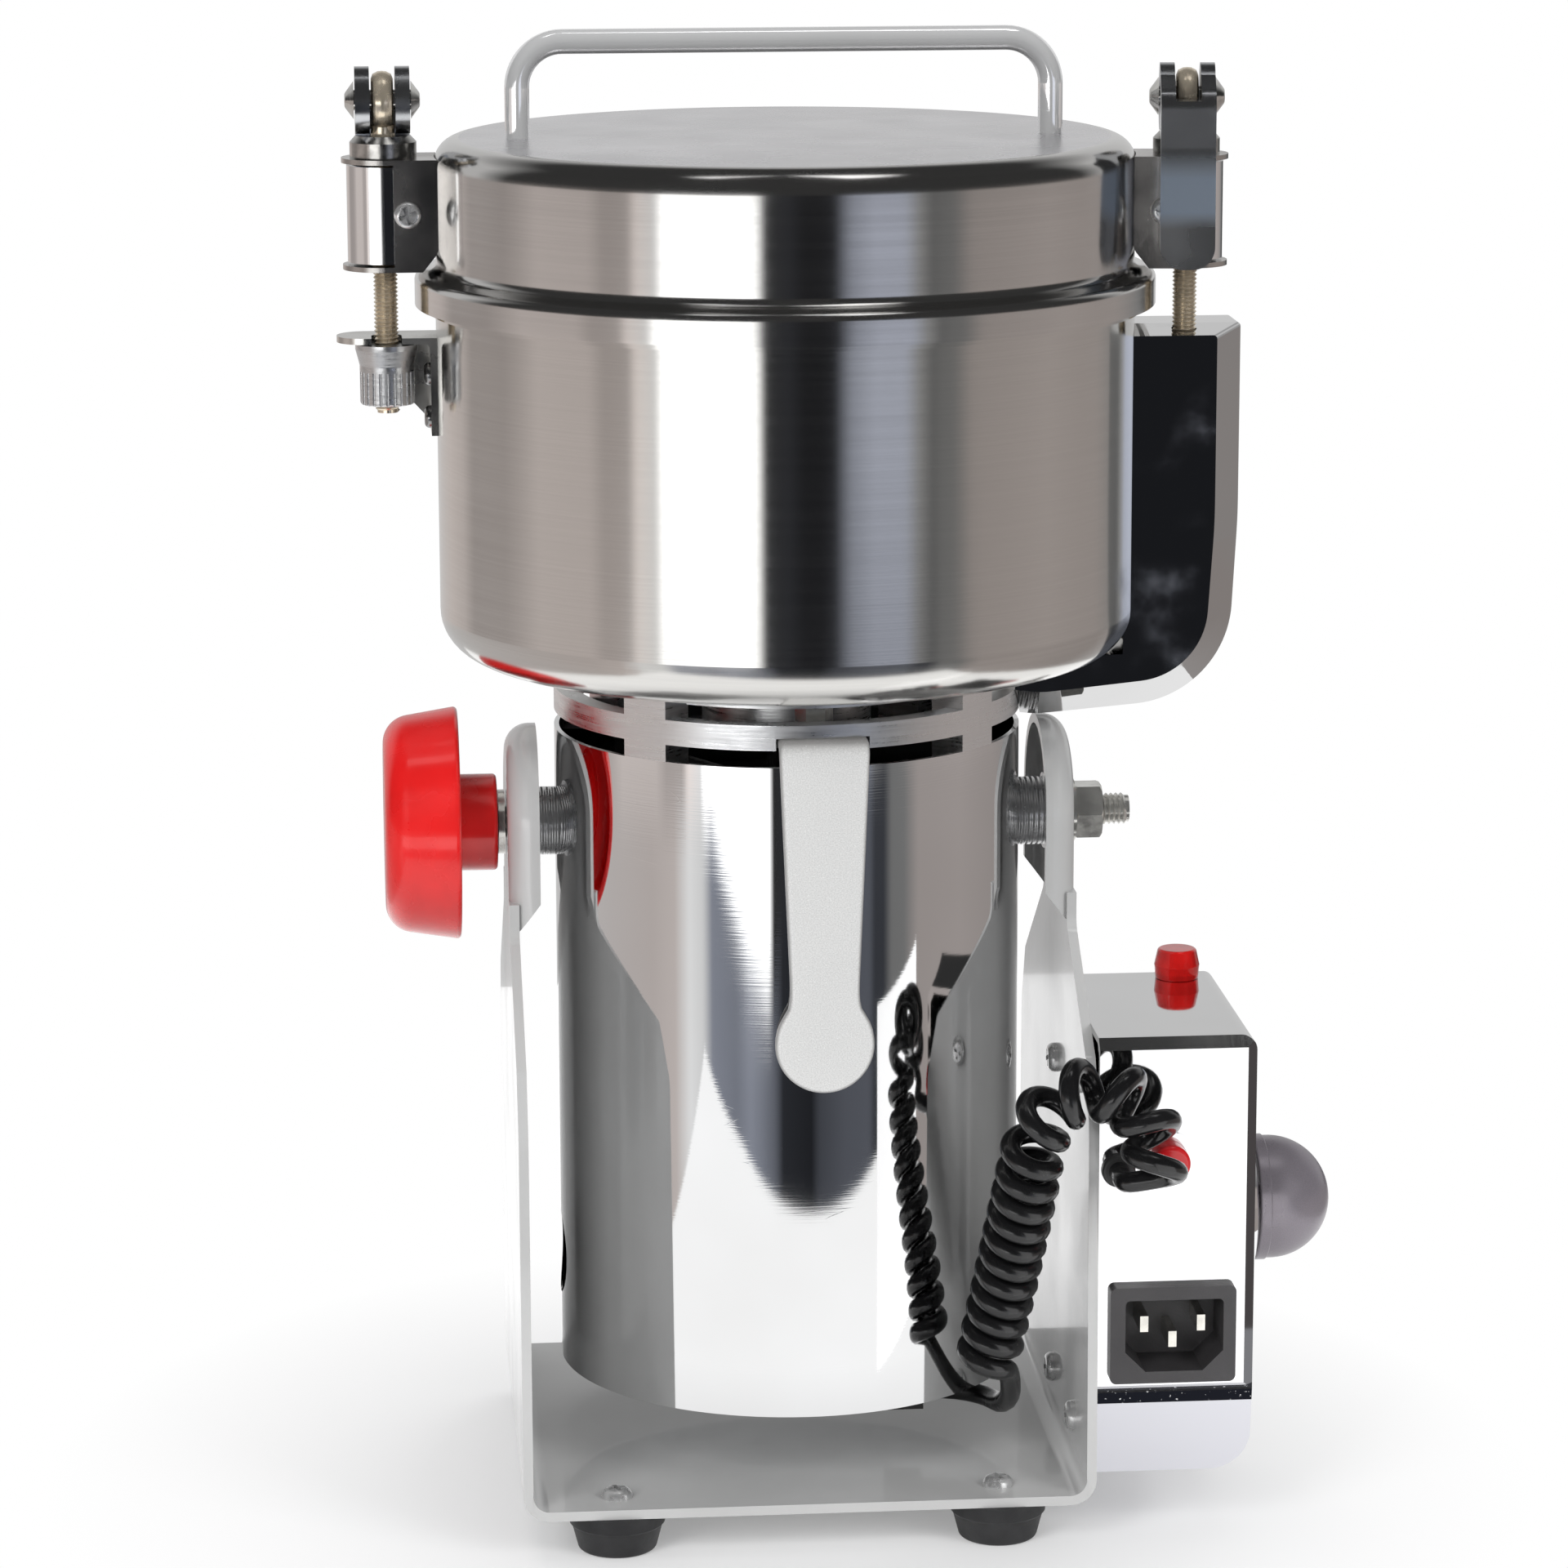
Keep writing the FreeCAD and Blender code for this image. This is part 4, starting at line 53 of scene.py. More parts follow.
# Heights and faces that finishes and pieces share
LID_TOP = 0.3399
BOX_FACE = -0.0645
BOX_FOLD_LOW, BOX_FOLD_HIGH = 0.0346, 0.0392
# Heights between which a lever's matt pad, tinted blue as a painted reflection, sets in from below, and from
# above
LEVER_PAD_LOW, LEVER_PAD_HIGH = (0.3190, 0.3230), (0.3380, 0.3310)

# Eye bolts as x, y, lowest point and turn about the upright, with their shared sizes
BOLT_PLACES = ((-0.0975, 0.0, 0.2735, 0.0), (0.09675, -0.01205, 0.2786, -7.1))
BOLT_DIA, BOLT_PITCH, BOLT_DEPTH = 0.0060, 0.0010, 0.0005
BOLT_THREAD_TOP = 0.3370
BOLT_EASE = 0.0001
EYE_Z = 0.3494
NECK_BEVEL, NECK_SIDE_TOP, NECK_TIP = 0.001, EYE_Z - 0.006, EYE_Z - 0.004
# Domed eye of a bolt: radius and distance from its middle plane
EYE_OUTLINE = ((0.0, -0.00265), (0.0052, -0.00265), (0.0063, -0.0022), (0.0069, -0.0010), (0.0070, 0.0),
               (0.0069, 0.0010), (0.0063, 0.0022), (0.0052, 0.00265), (0.0, 0.00265))

# Pivot studs, from inside the motor to their tips
PIVOT_Z = 0.1704
STUD_RUNS = ((-0.0518, -0.0880), (0.0518, 0.0860))
STUD_DIA, STUD_PITCH, STUD_DEPTH = 0.0080, 0.00125, 0.0006

# Front strap
STRAP_X = 0.0039
STRAP_TOP = 0.2018
STRAP_FACE = -0.0622
STRAP_TAB_END = -0.0498
STRAP_THICK = 0.0022
STRAP_BEND = 0.0036
STRAP_TOP_HALF, STRAP_LOW_HALF = 0.0108, 0.0084
STRAP_NECK_Z = 0.1423
STRAP_ROUND_Z = 0.1273
STRAP_ROUND_RADIUS = 0.0120
STRAP_EDGE, STRAP_BACK_EDGE = 0.0012, 0.0003
STRAP_FILLET, STRAP_FILLET_RISE = 0.0012, 0.005

# Drawn lid
LID_SIDE_RADIUS, LID_LIP_RADIUS = 0.0853, 0.09045
LID_WALL, LID_LOW = 0.0012, 0.2999
LID_SHOULDER, LID_INNER_SHOULDER = 0.0060, 0.0048
LID_FLARE_LOW, LID_FLARE_HIGH, LID_INNER_DROP = 0.3072, 0.3089, 0.0007
LID_FLARE_ROUND, LID_INNER_FLARE_ROUND = 0.0021, 0.0009

# The curly cord, in step with the part's own sizes
CORD_DIA = 0.0051
CURL_RADIUS = 0.0056
CURL_TURNS = 15.75
CURL_PITCH = 0.0055
ARCH_PITCH = 0.0094
ARCH_LENGTH = 0.048
PITCH_BLEND = 0.012
CORD_START = (0.0749, -0.0661, 0.0950)
# Points of its straight start, in diameters out of the box
CORD_LEAD = (0.0, 1.0, 1.9)
COIL_AXIS = (
    (0.0806, -0.0830, 0.0970), (0.0812, -0.0822, 0.1030), (0.0802, -0.0805, 0.1105),
    (0.0745, -0.0795, 0.1180), (0.0655, -0.0785, 0.1200), (0.0568, -0.0770, 0.1155),
    (0.0530, -0.0755, 0.1065), (0.0515, -0.0725, 0.0950), (0.0498, -0.0665, 0.0810),
    (0.0480, -0.0600, 0.0660), (0.0460, -0.0555, 0.0530), (0.0445, -0.0540, 0.0440),
)
CORD_TAIL = ((0.0515, -0.0475, 0.0330), (0.0500, -0.0390, 0.0275), (0.0475, -0.0270, 0.0262),
             (0.0390, -0.0200, 0.0260))
CORD_END = (0.0320, -0.0200, 0.0260)


# Shader wiring

class Wiring:
    """Nodes of a shader tree, joined by sockets or set to plain values."""

    def __init__(self, owner):
        owner.use_nodes = True
        self.tree = owner.node_tree

    def add(self, kind, **settings):
        node = self.tree.nodes.new(kind)
        for key, value in settings.items():
            setattr(node, key, value)
        return node

    def plug(self, value, socket):
        if isinstance(value, bpy.types.NodeSocket):
            self.tree.links.new(value, socket)
        else:
            socket.default_value = value

    def math(self, way, a, b=0.0):
        node = self.add("ShaderNodeMath", operation=way)
        self.plug(a, node.inputs[0])
        self.plug(b, node.inputs[1])
        return node.outputs[0]

    def span(self, value, low, high, to_low=0.0, to_high=1.0):
        node = self.add("ShaderNodeMapRange")
        ends = (("From Min", low), ("From Max", high), ("To Min", to_low), ("To Max", to_high))
        for key, given in (("Value", value), *ends):
            self.plug(given, node.inputs[key])
        return node.outputs["Result"]

    def mix(self, factor, a, b):
        node = self.add("ShaderNodeMix", data_type="RGBA")
        self.plug(factor, node.inputs["Factor"])
        self.plug(a, node.inputs["A"])
        self.plug(b, node.inputs["B"])
        return node.outputs["Result"]

    def tint(self, value, *stops):
        """A colour for a value, from (place, colour) stops."""
        node = self.add("ShaderNodeValToRGB")
        elements = node.color_ramp.elements
        while len(elements) < len(stops):
            elements.new(0.5)
        for element, (place, colour) in zip(elements, stops):
            element.position = place
            element.color = (*colour, 1.0)
        self.plug(value, node.inputs["Fac"])
        return node.outputs["Color"]


class Finish(Wiring):
    """One material: fixed values on its shader, and patterns made from the piece's own coordinates."""

    def __init__(self, name, colour, **values):
        self.material = bpy.data.materials.new(name)
        super().__init__(self.material)
        self.shader = self.tree.nodes["Principled BSDF"]
        self.where = self.add("ShaderNodeTexCoord").outputs["Object"]
        self.set("Base Color", (*colour, 1.0))
        for key, value in values.items():
            self.set(key.replace("_", " ").title().replace("Ior", "IOR"), value)

    def set(self, socket, value):
        self.shader.inputs[socket].default_value = value

    def feed(self, socket, output):
        self.plug(output, self.shader.inputs[socket])
        return self

    def stretched(self, scale, turn=(0.0, 0.0, 0.0)):
        place = self.add("ShaderNodeMapping")
        place.inputs["Scale"].default_value = scale
        place.inputs["Rotation"].default_value = turn
        self.plug(self.where, place.inputs["Vector"])
        return place.outputs["Vector"]

    def noise(self, scale, detail=2.0, turn=(0.0, 0.0, 0.0), roughness=0.5):
        pattern = self.add("ShaderNodeTexNoise")
        pattern.inputs["Scale"].default_value = 1.0
        pattern.inputs["Detail"].default_value = detail
        pattern.inputs["Roughness"].default_value = roughness
        self.plug(self.stretched(scale, turn), pattern.inputs["Vector"])
        return pattern.outputs["Fac"]

    def relief(self, height, strength=0.1, depth=0.0005):
        node = self.add("ShaderNodeBump")
        node.inputs["Strength"].default_value = strength
        node.inputs["Distance"].default_value = depth
        self.plug(height, node.inputs["Height"])
        return self.feed("Normal", node.outputs["Normal"])

    def scratches(self, scale, turn, width=0.004, amount=0.35):
        """Thin lines where a long-drawn noise passes its middle, kept to patches."""
        line = self.noise(scale, 0.0, turn)
        near = self.math("ABSOLUTE", self.math("SUBTRACT", line, 0.5))
        thin = self.span(near, 0.0, width, 1.0, 0.0)
        patch = self.span(self.noise((14, 14, 14), 1.0, turn), 1.0 - amount, 1.06 - amount)
        return self.math("MULTIPLY", thin, patch)

    def zone(self, axis, low, high):
        """One between two places along an axis, and nought elsewhere."""
        axes = self.add("ShaderNodeSeparateXYZ")
        self.plug(self.where, axes.inputs[0])
        node = self.add("ShaderNodeMath", operation="COMPARE")
        self.plug(axes.outputs[axis], node.inputs[0])
        self.plug((low + high) / 2, node.inputs[1])
        self.plug((high - low) / 2, node.inputs[2])
        return node.outputs[0]

    def fade(self, axis, low, high):
        """Rises evenly from nought to one between two places along an axis."""
        axes = self.add("ShaderNodeSeparateXYZ")
        self.plug(self.where, axes.inputs[0])
        return self.span(axes.outputs[axis], low, high)

    def facing(self, direction, low, high):
        """Rises from nought to one as a surface turns towards a direction of the piece."""
        turned = self.add("ShaderNodeVectorMath", operation="DOT_PRODUCT")
        self.plug(self.add("ShaderNodeTexCoord").outputs["Normal"], turned.inputs[0])
        turned.inputs[1].default_value = Vector(direction).normalized()
        return self.span(turned.outputs["Value"], low, high)

    def over(self, socket, factor, value):
        """Lays a value over what feeds a socket, where the factor is one."""
        target = self.shader.inputs[socket]
        node = self.add("ShaderNodeMix", data_type="FLOAT" if isinstance(value, float) else "RGBA")
        self.plug(factor, node.inputs["Factor"])
        self.plug(target.links[0].from_socket if target.links else target.default_value, node.inputs["A"])
        self.plug(value if isinstance(value, float) else (*value, 1.0), node.inputs["B"])
        return self.feed(socket, node.outputs["Result"])

    def worn(self, low, high, scale=(26, 26, 26), detail=4.0):
        """Roughness that wanders between two values, as smudges and handling leave it."""
        return self.feed("Roughness", self.span(self.noise(scale, detail), 0.35, 0.68, low, high))


def dimmed(tone, share):
    return tuple(c * share for c in tone)


def shades(dark, light):
    return (0.30, dark), (0.72, light)


# Metals

def mirror_steel(name, tone=0.74, lines=(6, 6, 900), low=0.035, high=0.085, line_strength=0.018):
    """Polished sheet: hair lines along the polish, thin scratches and a few smudges."""
    steel = Finish(name, (tone, tone, tone), metallic=1.0, roughness=low)
    steel.feed("Base Color", steel.tint(steel.noise((18, 18, 18), 3.0),
                                        *shades((tone - 0.05,) * 3, (tone, tone + 0.003, tone + 0.008))))
    steel.worn(low, high)
    hair = steel.noise(lines, 3.0)
    scratch = steel.scratches((30, 30, 160), (0.3, 0.5, 0.2), 0.003, 0.42)
    return steel.relief(steel.math("ADD", hair, scratch), line_strength, 0.0003)


def brushed_steel(name, tone=(0.66, 0.65, 0.63), lines=(3, 3, 2600), low=0.13, high=0.15, grain=0.03,
                  stretch=0.92):
    """Brushed sheet: hair lines round the drum, roughness in streaks, a few long scratches."""
    steel = Finish(name, tone, metallic=1.0, roughness=low, anisotropic=stretch, anisotropic_rotation=0.25)
    fine = steel.noise(lines, 4.0, roughness=0.6)
    broad = steel.noise((lines[0] * 2.0, lines[1] * 2.0, lines[2] * 0.3), 4.0)
    mixed = steel.math("ADD", steel.math("MULTIPLY", fine, 0.5), steel.math("MULTIPLY", broad, 0.5))
    light = tuple(min(1.0, c * 1.03) for c in tone)
    steel.feed("Base Color", steel.tint(mixed, *shades(dimmed(tone, 0.94), light)))
    steel.feed("Roughness", steel.span(broad, 0.35, 0.65, low, high))
    around = steel.add("ShaderNodeTangent", direction_type="RADIAL", axis="Z")
    steel.feed("Tangent", around.outputs["Tangent"])
    scratch = steel.scratches((9, 9, 260), (0.03, 0.06, 0.0), 0.002, 0.34)
    return steel.relief(steel.math("SUBTRACT", fine, steel.math("MULTIPLY", scratch, 0.8)), grain, 0.0002)


def stacked_washers(name, tone):
    """Bright plate with grooves round the bolt, as a stack of thin washers shows."""
    stack = plated(name, tone, 0.18, 0.30, 0.65)
    rings = stack.add("ShaderNodeTexWave", wave_type="BANDS", bands_direction="X")
    rings.inputs["Scale"].default_value = 240.0
    stack.plug(stack.where, rings.inputs["Vector"])
    return stack.relief(rings.outputs["Fac"], 0.6, 0.0006)


def satin_steel(name, tone=(0.60, 0.60, 0.60), low=0.28, high=0.40):
    """Bead-blasted or tumbled steel with handling marks."""
    steel = Finish(name, tone, metallic=1.0, roughness=low)
    steel.feed("Base Color", steel.tint(steel.noise((40, 40, 40), 4.0), *shades(dimmed(tone, 0.88), tone)))
    steel.worn(low, high, (60, 60, 60))
    grain = steel.noise((2200, 2200, 2200), 2.0)
    scratch = steel.scratches((25, 120, 60), (0.4, 0.2, 0.6), 0.004, 0.45)
    return steel.relief(steel.math("ADD", grain, scratch), 0.05, 0.0002)


def plated(name, tone, low=0.10, high=0.24, metallic=1.0):
    """Nickel or zinc plate on small turned parts, dulled unevenly."""
    plate = Finish(name, tone, metallic=metallic, roughness=low)
    plate.feed("Base Color", plate.tint(plate.noise((220, 220, 220), 4.0),
                                        *shades(dimmed(tone, 0.72), tone)))
    plate.worn(low, high, (300, 300, 300))
    return plate.relief(plate.noise((1500, 1500, 1500), 3.0), 0.06, 0.0002)


def scuffed_mirror(name, tone, low=0.09, high=0.24, mark=0.006):
    """Levers: polished, lightly scratched by thumbs, with a matt pad to press on, tinted pale blue as a
    painted reflection.
    """
    steel = Finish(name, tone, metallic=1.0, roughness=0.12)
    steel.feed("Base Color", steel.tint(steel.noise((90, 90, 60), 2.0), *shades(dimmed(tone, 0.90), tone)))
    steel.worn(low, high, (60, 60, 50), 2.0)
    pad = steel.math("MULTIPLY", steel.fade("Z", *LEVER_PAD_LOW), steel.fade("Z", *LEVER_PAD_HIGH))
    steel.over("Roughness", pad, 0.44)
    # Painted reflection: the pad is tinted pale blue.
    steel.over("Base Color", pad, (0.72, 0.84, 1.0))
    a = steel.scratches((60, 300, 60), (0.2, 0.1, 0.5), 0.003, 0.40)
    b = steel.scratches((80, 60, 260), (0.9, 0.3, 0.2), 0.003, 0.36)
    return steel.relief(steel.math("ADD", a, b), mark, 0.0002)


def handled_mirror(name, tone):
    """Thick polish: almost clear, with painted shade on its bevel, hazy finger marks and fine scratches."""
    steel = Finish(name, tone, metallic=1.0, roughness=0.03)
    marks = steel.span(steel.noise((70, 70, 62), 1.0), 0.50, 0.74)
    smear = steel.span(steel.noise((210, 210, 210), 5.0), 0.20, 0.80)
    steel.feed("Roughness", steel.span(steel.math("MULTIPLY", marks, smear), 0.0, 1.0, 0.022, 0.25))
    # Painted shade: the bevel turned right and down is coloured darker grey.
    bevel = steel.facing((1, 0, -1), 0.20, 0.35)
    steel.over("Base Color", bevel, dimmed(tone, 0.72))
    scratch = steel.scratches((22, 160, 30), (0.3, 0.8, 0.2), 0.0012, 0.30)
    return steel.relief(scratch, 0.01, 0.0002)


def machined_aluminium(name, tone=(0.78, 0.785, 0.79), lines=(60, 60, 1900)):
    """Lathe marks round the ring, and cast grain between them."""
    metal = Finish(name, tone, metallic=1.0, roughness=0.3)
    marks = metal.noise(lines, 2.0)
    cast = metal.noise((420, 420, 420), 4.0)
    mixed = metal.math("ADD", metal.math("MULTIPLY", marks, 0.7), metal.math("MULTIPLY", cast, 0.3))
    metal.feed("Base Color", metal.tint(mixed, *shades(dimmed(tone, 0.80), tone)))
    metal.feed("Roughness", metal.span(mixed, 0.35, 0.65, 0.24, 0.42))
    return metal.relief(mixed, 0.16, 0.0003)


def copper_winding(name):
    wire = Finish(name, (0.55, 0.22, 0.08), metallic=0.85, roughness=0.35)
    turns = wire.add("ShaderNodeTexWave", wave_type="BANDS", bands_direction="Z")
    turns.inputs["Scale"].default_value = 160.0
    turns.inputs["Distortion"].default_value = 1.5
    wire.plug(wire.where, turns.inputs["Vector"])
    wire.feed("Base Color", wire.tint(turns.outputs["Fac"], *shades((0.22, 0.07, 0.02), (0.62, 0.26, 0.09))))
    return wire.relief(turns.outputs["Fac"], 0.5, 0.0006)


def laminations(name):
    """Edges of stacked sheets."""
    iron = Finish(name, (0.26, 0.26, 0.27), metallic=0.8, roughness=0.45)
    sheets = iron.noise((8, 8, 2400), 1.0)
    iron.feed("Base Color", iron.tint(sheets, *shades((0.12, 0.12, 0.125), (0.33, 0.33, 0.34))))
    return iron.relief(sheets, 0.4, 0.0003)


# Paint, plastic, rubber

def powder_coat(name):
    """Light grey gloss coat with a faint orange-peel skin."""
    paint = Finish(name, (0.52, 0.52, 0.515), roughness=0.20, coat_weight=0.5, coat_roughness=0.06)
    paint.feed("Base Color", paint.tint(paint.noise((30, 30, 30), 4.0),
                                        *shades((0.50, 0.50, 0.495), (0.54, 0.54, 0.537))))
    paint.worn(0.16, 0.26, (40, 40, 40))
    return paint.relief(paint.noise((650, 650, 650), 2.0), 0.05, 0.0002)


def silver_paint(name):
    """Fine metallic paint, dry and even, with painted shade on the turned edges, and light specks."""
    paint = Finish(name, (0.74, 0.74, 0.73), metallic=0.10, roughness=0.42)
    flakes = paint.noise((3200, 3200, 3200), 2.0)
    paint.feed("Base Color", paint.tint(flakes, *shades((0.60, 0.60, 0.59), (0.80, 0.80, 0.79))))
    paint.worn(0.36, 0.48, (90, 90, 90))
    # Painted shade: faces turned away from the front are coloured darker grey.
    paint.over("Base Color", paint.facing((0, -1, 0), 0.96, 0.55), (0.42, 0.415, 0.41))
    specks = paint.span(paint.noise((2600, 2600, 2600), 1.0), 0.66, 0.80, 0.0, 0.6)
    return paint.over("Base Color", specks, (0.95, 0.95, 0.94)).relief(flakes, 0.12, 0.0001)


def moulded(name, colour, low=0.22, high=0.34, grain=0.05, size=900, coat=0.0):
    """Moulded plastic with its tool's grain and a little colour drift."""
    plastic = Finish(name, colour, roughness=low, coat_weight=coat, coat_roughness=0.06)
    drift = plastic.noise((55, 55, 55), 4.0)
    light = tuple(min(1.0, c * 1.10 + 0.003) for c in colour)
    plastic.feed("Base Color", plastic.tint(drift, *shades(dimmed(colour, 0.88), light)))
    plastic.worn(low, high, (80, 80, 80))
    return plastic.relief(plastic.noise((size, size, size), 3.0), grain, 0.0002)


def pearl_plastic(name, colour):
    plastic = Finish(name, colour, metallic=0.35, roughness=0.30)
    speck = plastic.noise((4200, 4200, 4200), 1.0)
    plastic.feed("Base Color", plastic.tint(speck, *shades(dimmed(colour, 0.85), colour)))
    plastic.worn(0.26, 0.38, (90, 90, 90))
    return plastic.relief(speck, 0.05, 0.0001)


def tinted_lens(name, colour):
    """Translucent red plastic with light moulding waves."""
    lens = Finish(name, colour, roughness=0.06, transmission_weight=0.35, ior=1.49, coat_weight=0.6)
    depth = lens.noise((160, 160, 160), 3.0)
    lens.feed("Base Color", lens.tint(depth, *shades(dimmed(colour, 0.6), colour)))
    return lens.relief(lens.noise((260, 260, 260), 2.0), 0.10, 0.0004)


def rubber(name, colour, grain=0.25, size=700):
    soft = Finish(name, colour, roughness=0.55)
    light = tuple(min(1.0, c * 1.4) for c in colour)
    soft.feed("Base Color", soft.tint(soft.noise((120, 120, 120), 4.0), *shades(dimmed(colour, 0.75), light)))
    soft.worn(0.48, 0.66, (150, 150, 150))
    return soft.relief(soft.noise((size, size, size), 4.0), grain, 0.0003)


def clear_glass(name):
    glass = Finish(name, (0.95, 0.85, 0.75), roughness=0.04, transmission_weight=0.9, ior=1.45)
    return glass.relief(glass.noise((90, 90, 90), 2.0), 0.05, 0.0003)


def bright_rod(name):
    """Polished bar of the lid's handle, paler than sheet because light reaches it all round."""
    rod = mirror_steel(name, 0.93, (400, 400, 400), 0.05, 0.14, 0.03)
    rod.set("Metallic", 0.55)
    return rod


def folded_box(name):
    """The control box: polished sheet, with painted shade on its fold, a painted lavender reflection on its
    matt foot, and a painted dark reflection on the upright front edge.
    """
    steel = mirror_steel(name, 0.80, (700, 6, 6), 0.03, 0.06, 0.010)
    # Painted shade: the fold is coloured near black, with small gaps left polished as sparkles.
    fold = steel.zone("Z", BOX_FOLD_LOW, BOX_FOLD_HIGH)
    shade_between_sparkles = steel.span(steel.noise((1100, 1100, 1100), 2.0), 0.66, 0.72, 1.0, 0.0)
    # Painted reflection: below the fold the foot is tinted lavender grey, and it is made rougher.
    chin = steel.fade("Z", BOX_FOLD_LOW, BOX_FOLD_LOW - 0.00001)
    steel.over("Base Color", chin, (0.70, 0.70, 0.745))
    steel.over("Roughness", chin, 0.22)
    # Painted reflection: the upright front edge, where the surface turns to the right front, is coloured near
    # black.
    steel.over("Base Color", steel.facing((1, -1, 0), 0.80, 0.90), (0.14, 0.14, 0.15))
    return steel.over("Base Color", steel.math("MULTIPLY", fold, shade_between_sparkles), (0.012, 0.013, 0.018))


def collared_plastic(name):
    """Black body with a bright collar where it stands out of the box."""
    body = moulded(name, (0.04, 0.04, 0.042), 0.40, 0.50)
    collar = body.zone("Y", BOX_FACE - 0.05, BOX_FACE)
    body.over("Base Color", collar, (0.80, 0.80, 0.81))
    body.over("Roughness", collar, 0.10)
    return body.over("Metallic", collar, 1.0)


FINISHES = {
    "yoke_paint": powder_coat("yoke_powder_coat"),
    "foot_rubber": rubber("foot_rubber", (0.018, 0.018, 0.019)),
    "zinc_screw": plated("screw_plate", (0.88, 0.88, 0.88), 0.22, 0.36, 0.75),
    "box_chrome": folded_box("box_polished_steel"),
    "inlet_plastic": moulded("inlet_plastic", (0.040, 0.038, 0.040), 0.40, 0.52, 0.22, 1400),
    "pin_brass": plated("pin_plate", (0.78, 0.76, 0.70), 0.14, 0.26),
    "breaker_plastic": collared_plastic("breaker_plastic"),
    "reset_red": moulded("reset_button_red", (0.62, 0.012, 0.016), 0.16, 0.26, 0.04, 900, 0.3),
    "lens_red": tinted_lens("lens_red", (0.86, 0.016, 0.014)),
    "lamp_glass": clear_glass("lamp_glass"),
    "timer_case": moulded("timer_case", (0.30, 0.30, 0.31), 0.40, 0.52),
    "dial_chrome": mirror_steel("dial_polish", 0.80, (6, 900, 900), 0.03, 0.07, 0.010),
    "knob_grey": pearl_plastic("timer_knob_pearl", (0.27, 0.245, 0.275)),
    "gland_black": moulded("gland_black", (0.02, 0.02, 0.02), 0.40, 0.52),
    "cord_black": moulded("cord_black", (0.006, 0.006, 0.0065), 0.20, 0.30, 0.03, 600, 0.2),
    "stud_zinc": plated("stud_zinc", (0.84, 0.83, 0.79), 0.14, 0.26, 0.8),
    "spacer_steel": stacked_washers("spacer_steel", (0.92, 0.92, 0.93)),
    "lock_red": moulded("lock_knob_red", (0.80, 0.010, 0.010), 0.20, 0.32, 0.05, 700, 0.25),
    "shell_mirror": mirror_steel("shell_mirror", 0.76, (5, 5, 2800), 0.025, 0.06, 0.008),
    "ring_aluminium": machined_aluminium("ring_aluminium", (0.93, 0.935, 0.94)),
    "cap_casting": machined_aluminium("cap_casting", (0.50, 0.51, 0.52), (300, 300, 300)),
    "bearing_steel": plated("bearing_steel", (0.55, 0.55, 0.56)),
    "lamination": laminations("lamination_edges"),
    "winding": copper_winding("copper_winding"),
    "holder_brass": plated("holder_brass", (0.72, 0.52, 0.22)),
    "carbon": moulded("carbon_brush", (0.03, 0.03, 0.03), 0.5, 0.6),
    "shaft_steel": plated("shaft_ground", (0.60, 0.60, 0.61), 0.18, 0.28),
    "commutator_copper": plated("commutator_copper", (0.62, 0.30, 0.14), 0.22, 0.34),
    "fan_plastic": moulded("fan_plastic", (0.05, 0.05, 0.05), 0.4, 0.5),
    "seal_rubber": rubber("seal_silicone", (0.62, 0.60, 0.56), 0.1),
    "blade_steel": satin_steel("blade_ground", (0.64, 0.64, 0.64), 0.22, 0.34),
    "drum_steel": brushed_steel("drum_brushed"),
    "lid_steel": brushed_steel("lid_satin", (0.66, 0.65, 0.635), (4, 4, 2200), 0.14, 0.17, 0.03, 0.88),
    "gasket_silicone": rubber("gasket_silicone", (0.66, 0.65, 0.62), 0.1),
    "rod_steel": bright_rod("rod_polished"),
    "strap_steel": silver_paint("strap_silver"),
    "pad_foam": rubber("pad_foam", (0.03, 0.03, 0.03)),
    "grip_chrome": handled_mirror("grip_polished", (0.80, 0.80, 0.80)),
    "ear_steel": satin_steel("ear_satin", (0.66, 0.65, 0.62), 0.20, 0.32),
    "rivet_steel": plated("rivet_dark", (0.36, 0.36, 0.36), 0.20, 0.32),
    "knurl_aluminium": machined_aluminium("knurled_nut", (0.74, 0.745, 0.75), (200, 200, 1500)),
    "bracket_steel": satin_steel("bracket_satin", (0.50, 0.48, 0.46), 0.16, 0.30),
    "sleeve_chrome": mirror_steel("sleeve_polished", 0.78, (6, 6, 800), 0.05, 0.12, 0.02),
    "bolt_nickel": plated("bolt_nickel", (0.96, 0.84, 0.66), 0.20, 0.32, 0.8),
    "washer_nickel": plated("washer_nickel", (0.52, 0.51, 0.49), 0.14, 0.30),
    "lever_steel": scuffed_mirror("lever_scuffed", (0.62, 0.63, 0.65), 0.20, 0.32),
}


def dress_the_frame():
    """Gives every node of the frame the finish of its slot; the pins' heads are brighter than the bolts."""
    heads = plated("pin_heads", (0.74, 0.73, 0.70), 0.06, 0.14)
    for part in frame["record"]["subparts"]:
        piece = nodes[part["node"]]
        piece.data.materials.clear()
        finish = heads if part["node"] == "cam_pins" else FINISHES[part["material_slot"]]
        piece.data.materials.append(finish.material)


# Pieces

def piece_from(name, points, faces, slot, sharp=math.radians(40)):
    mesh = bpy.data.meshes.new(name)
    mesh.from_pydata([tuple(p) for p in points], [], faces)
    mesh.materials.append(FINISHES[slot].material)
    mesh.polygons.foreach_set("use_smooth", [True] * len(faces))
    mesh.set_sharp_from_angle(angle=sharp)
    piece = bpy.data.objects.new(name, mesh)
    bpy.context.scene.collection.objects.link(piece)
    return piece


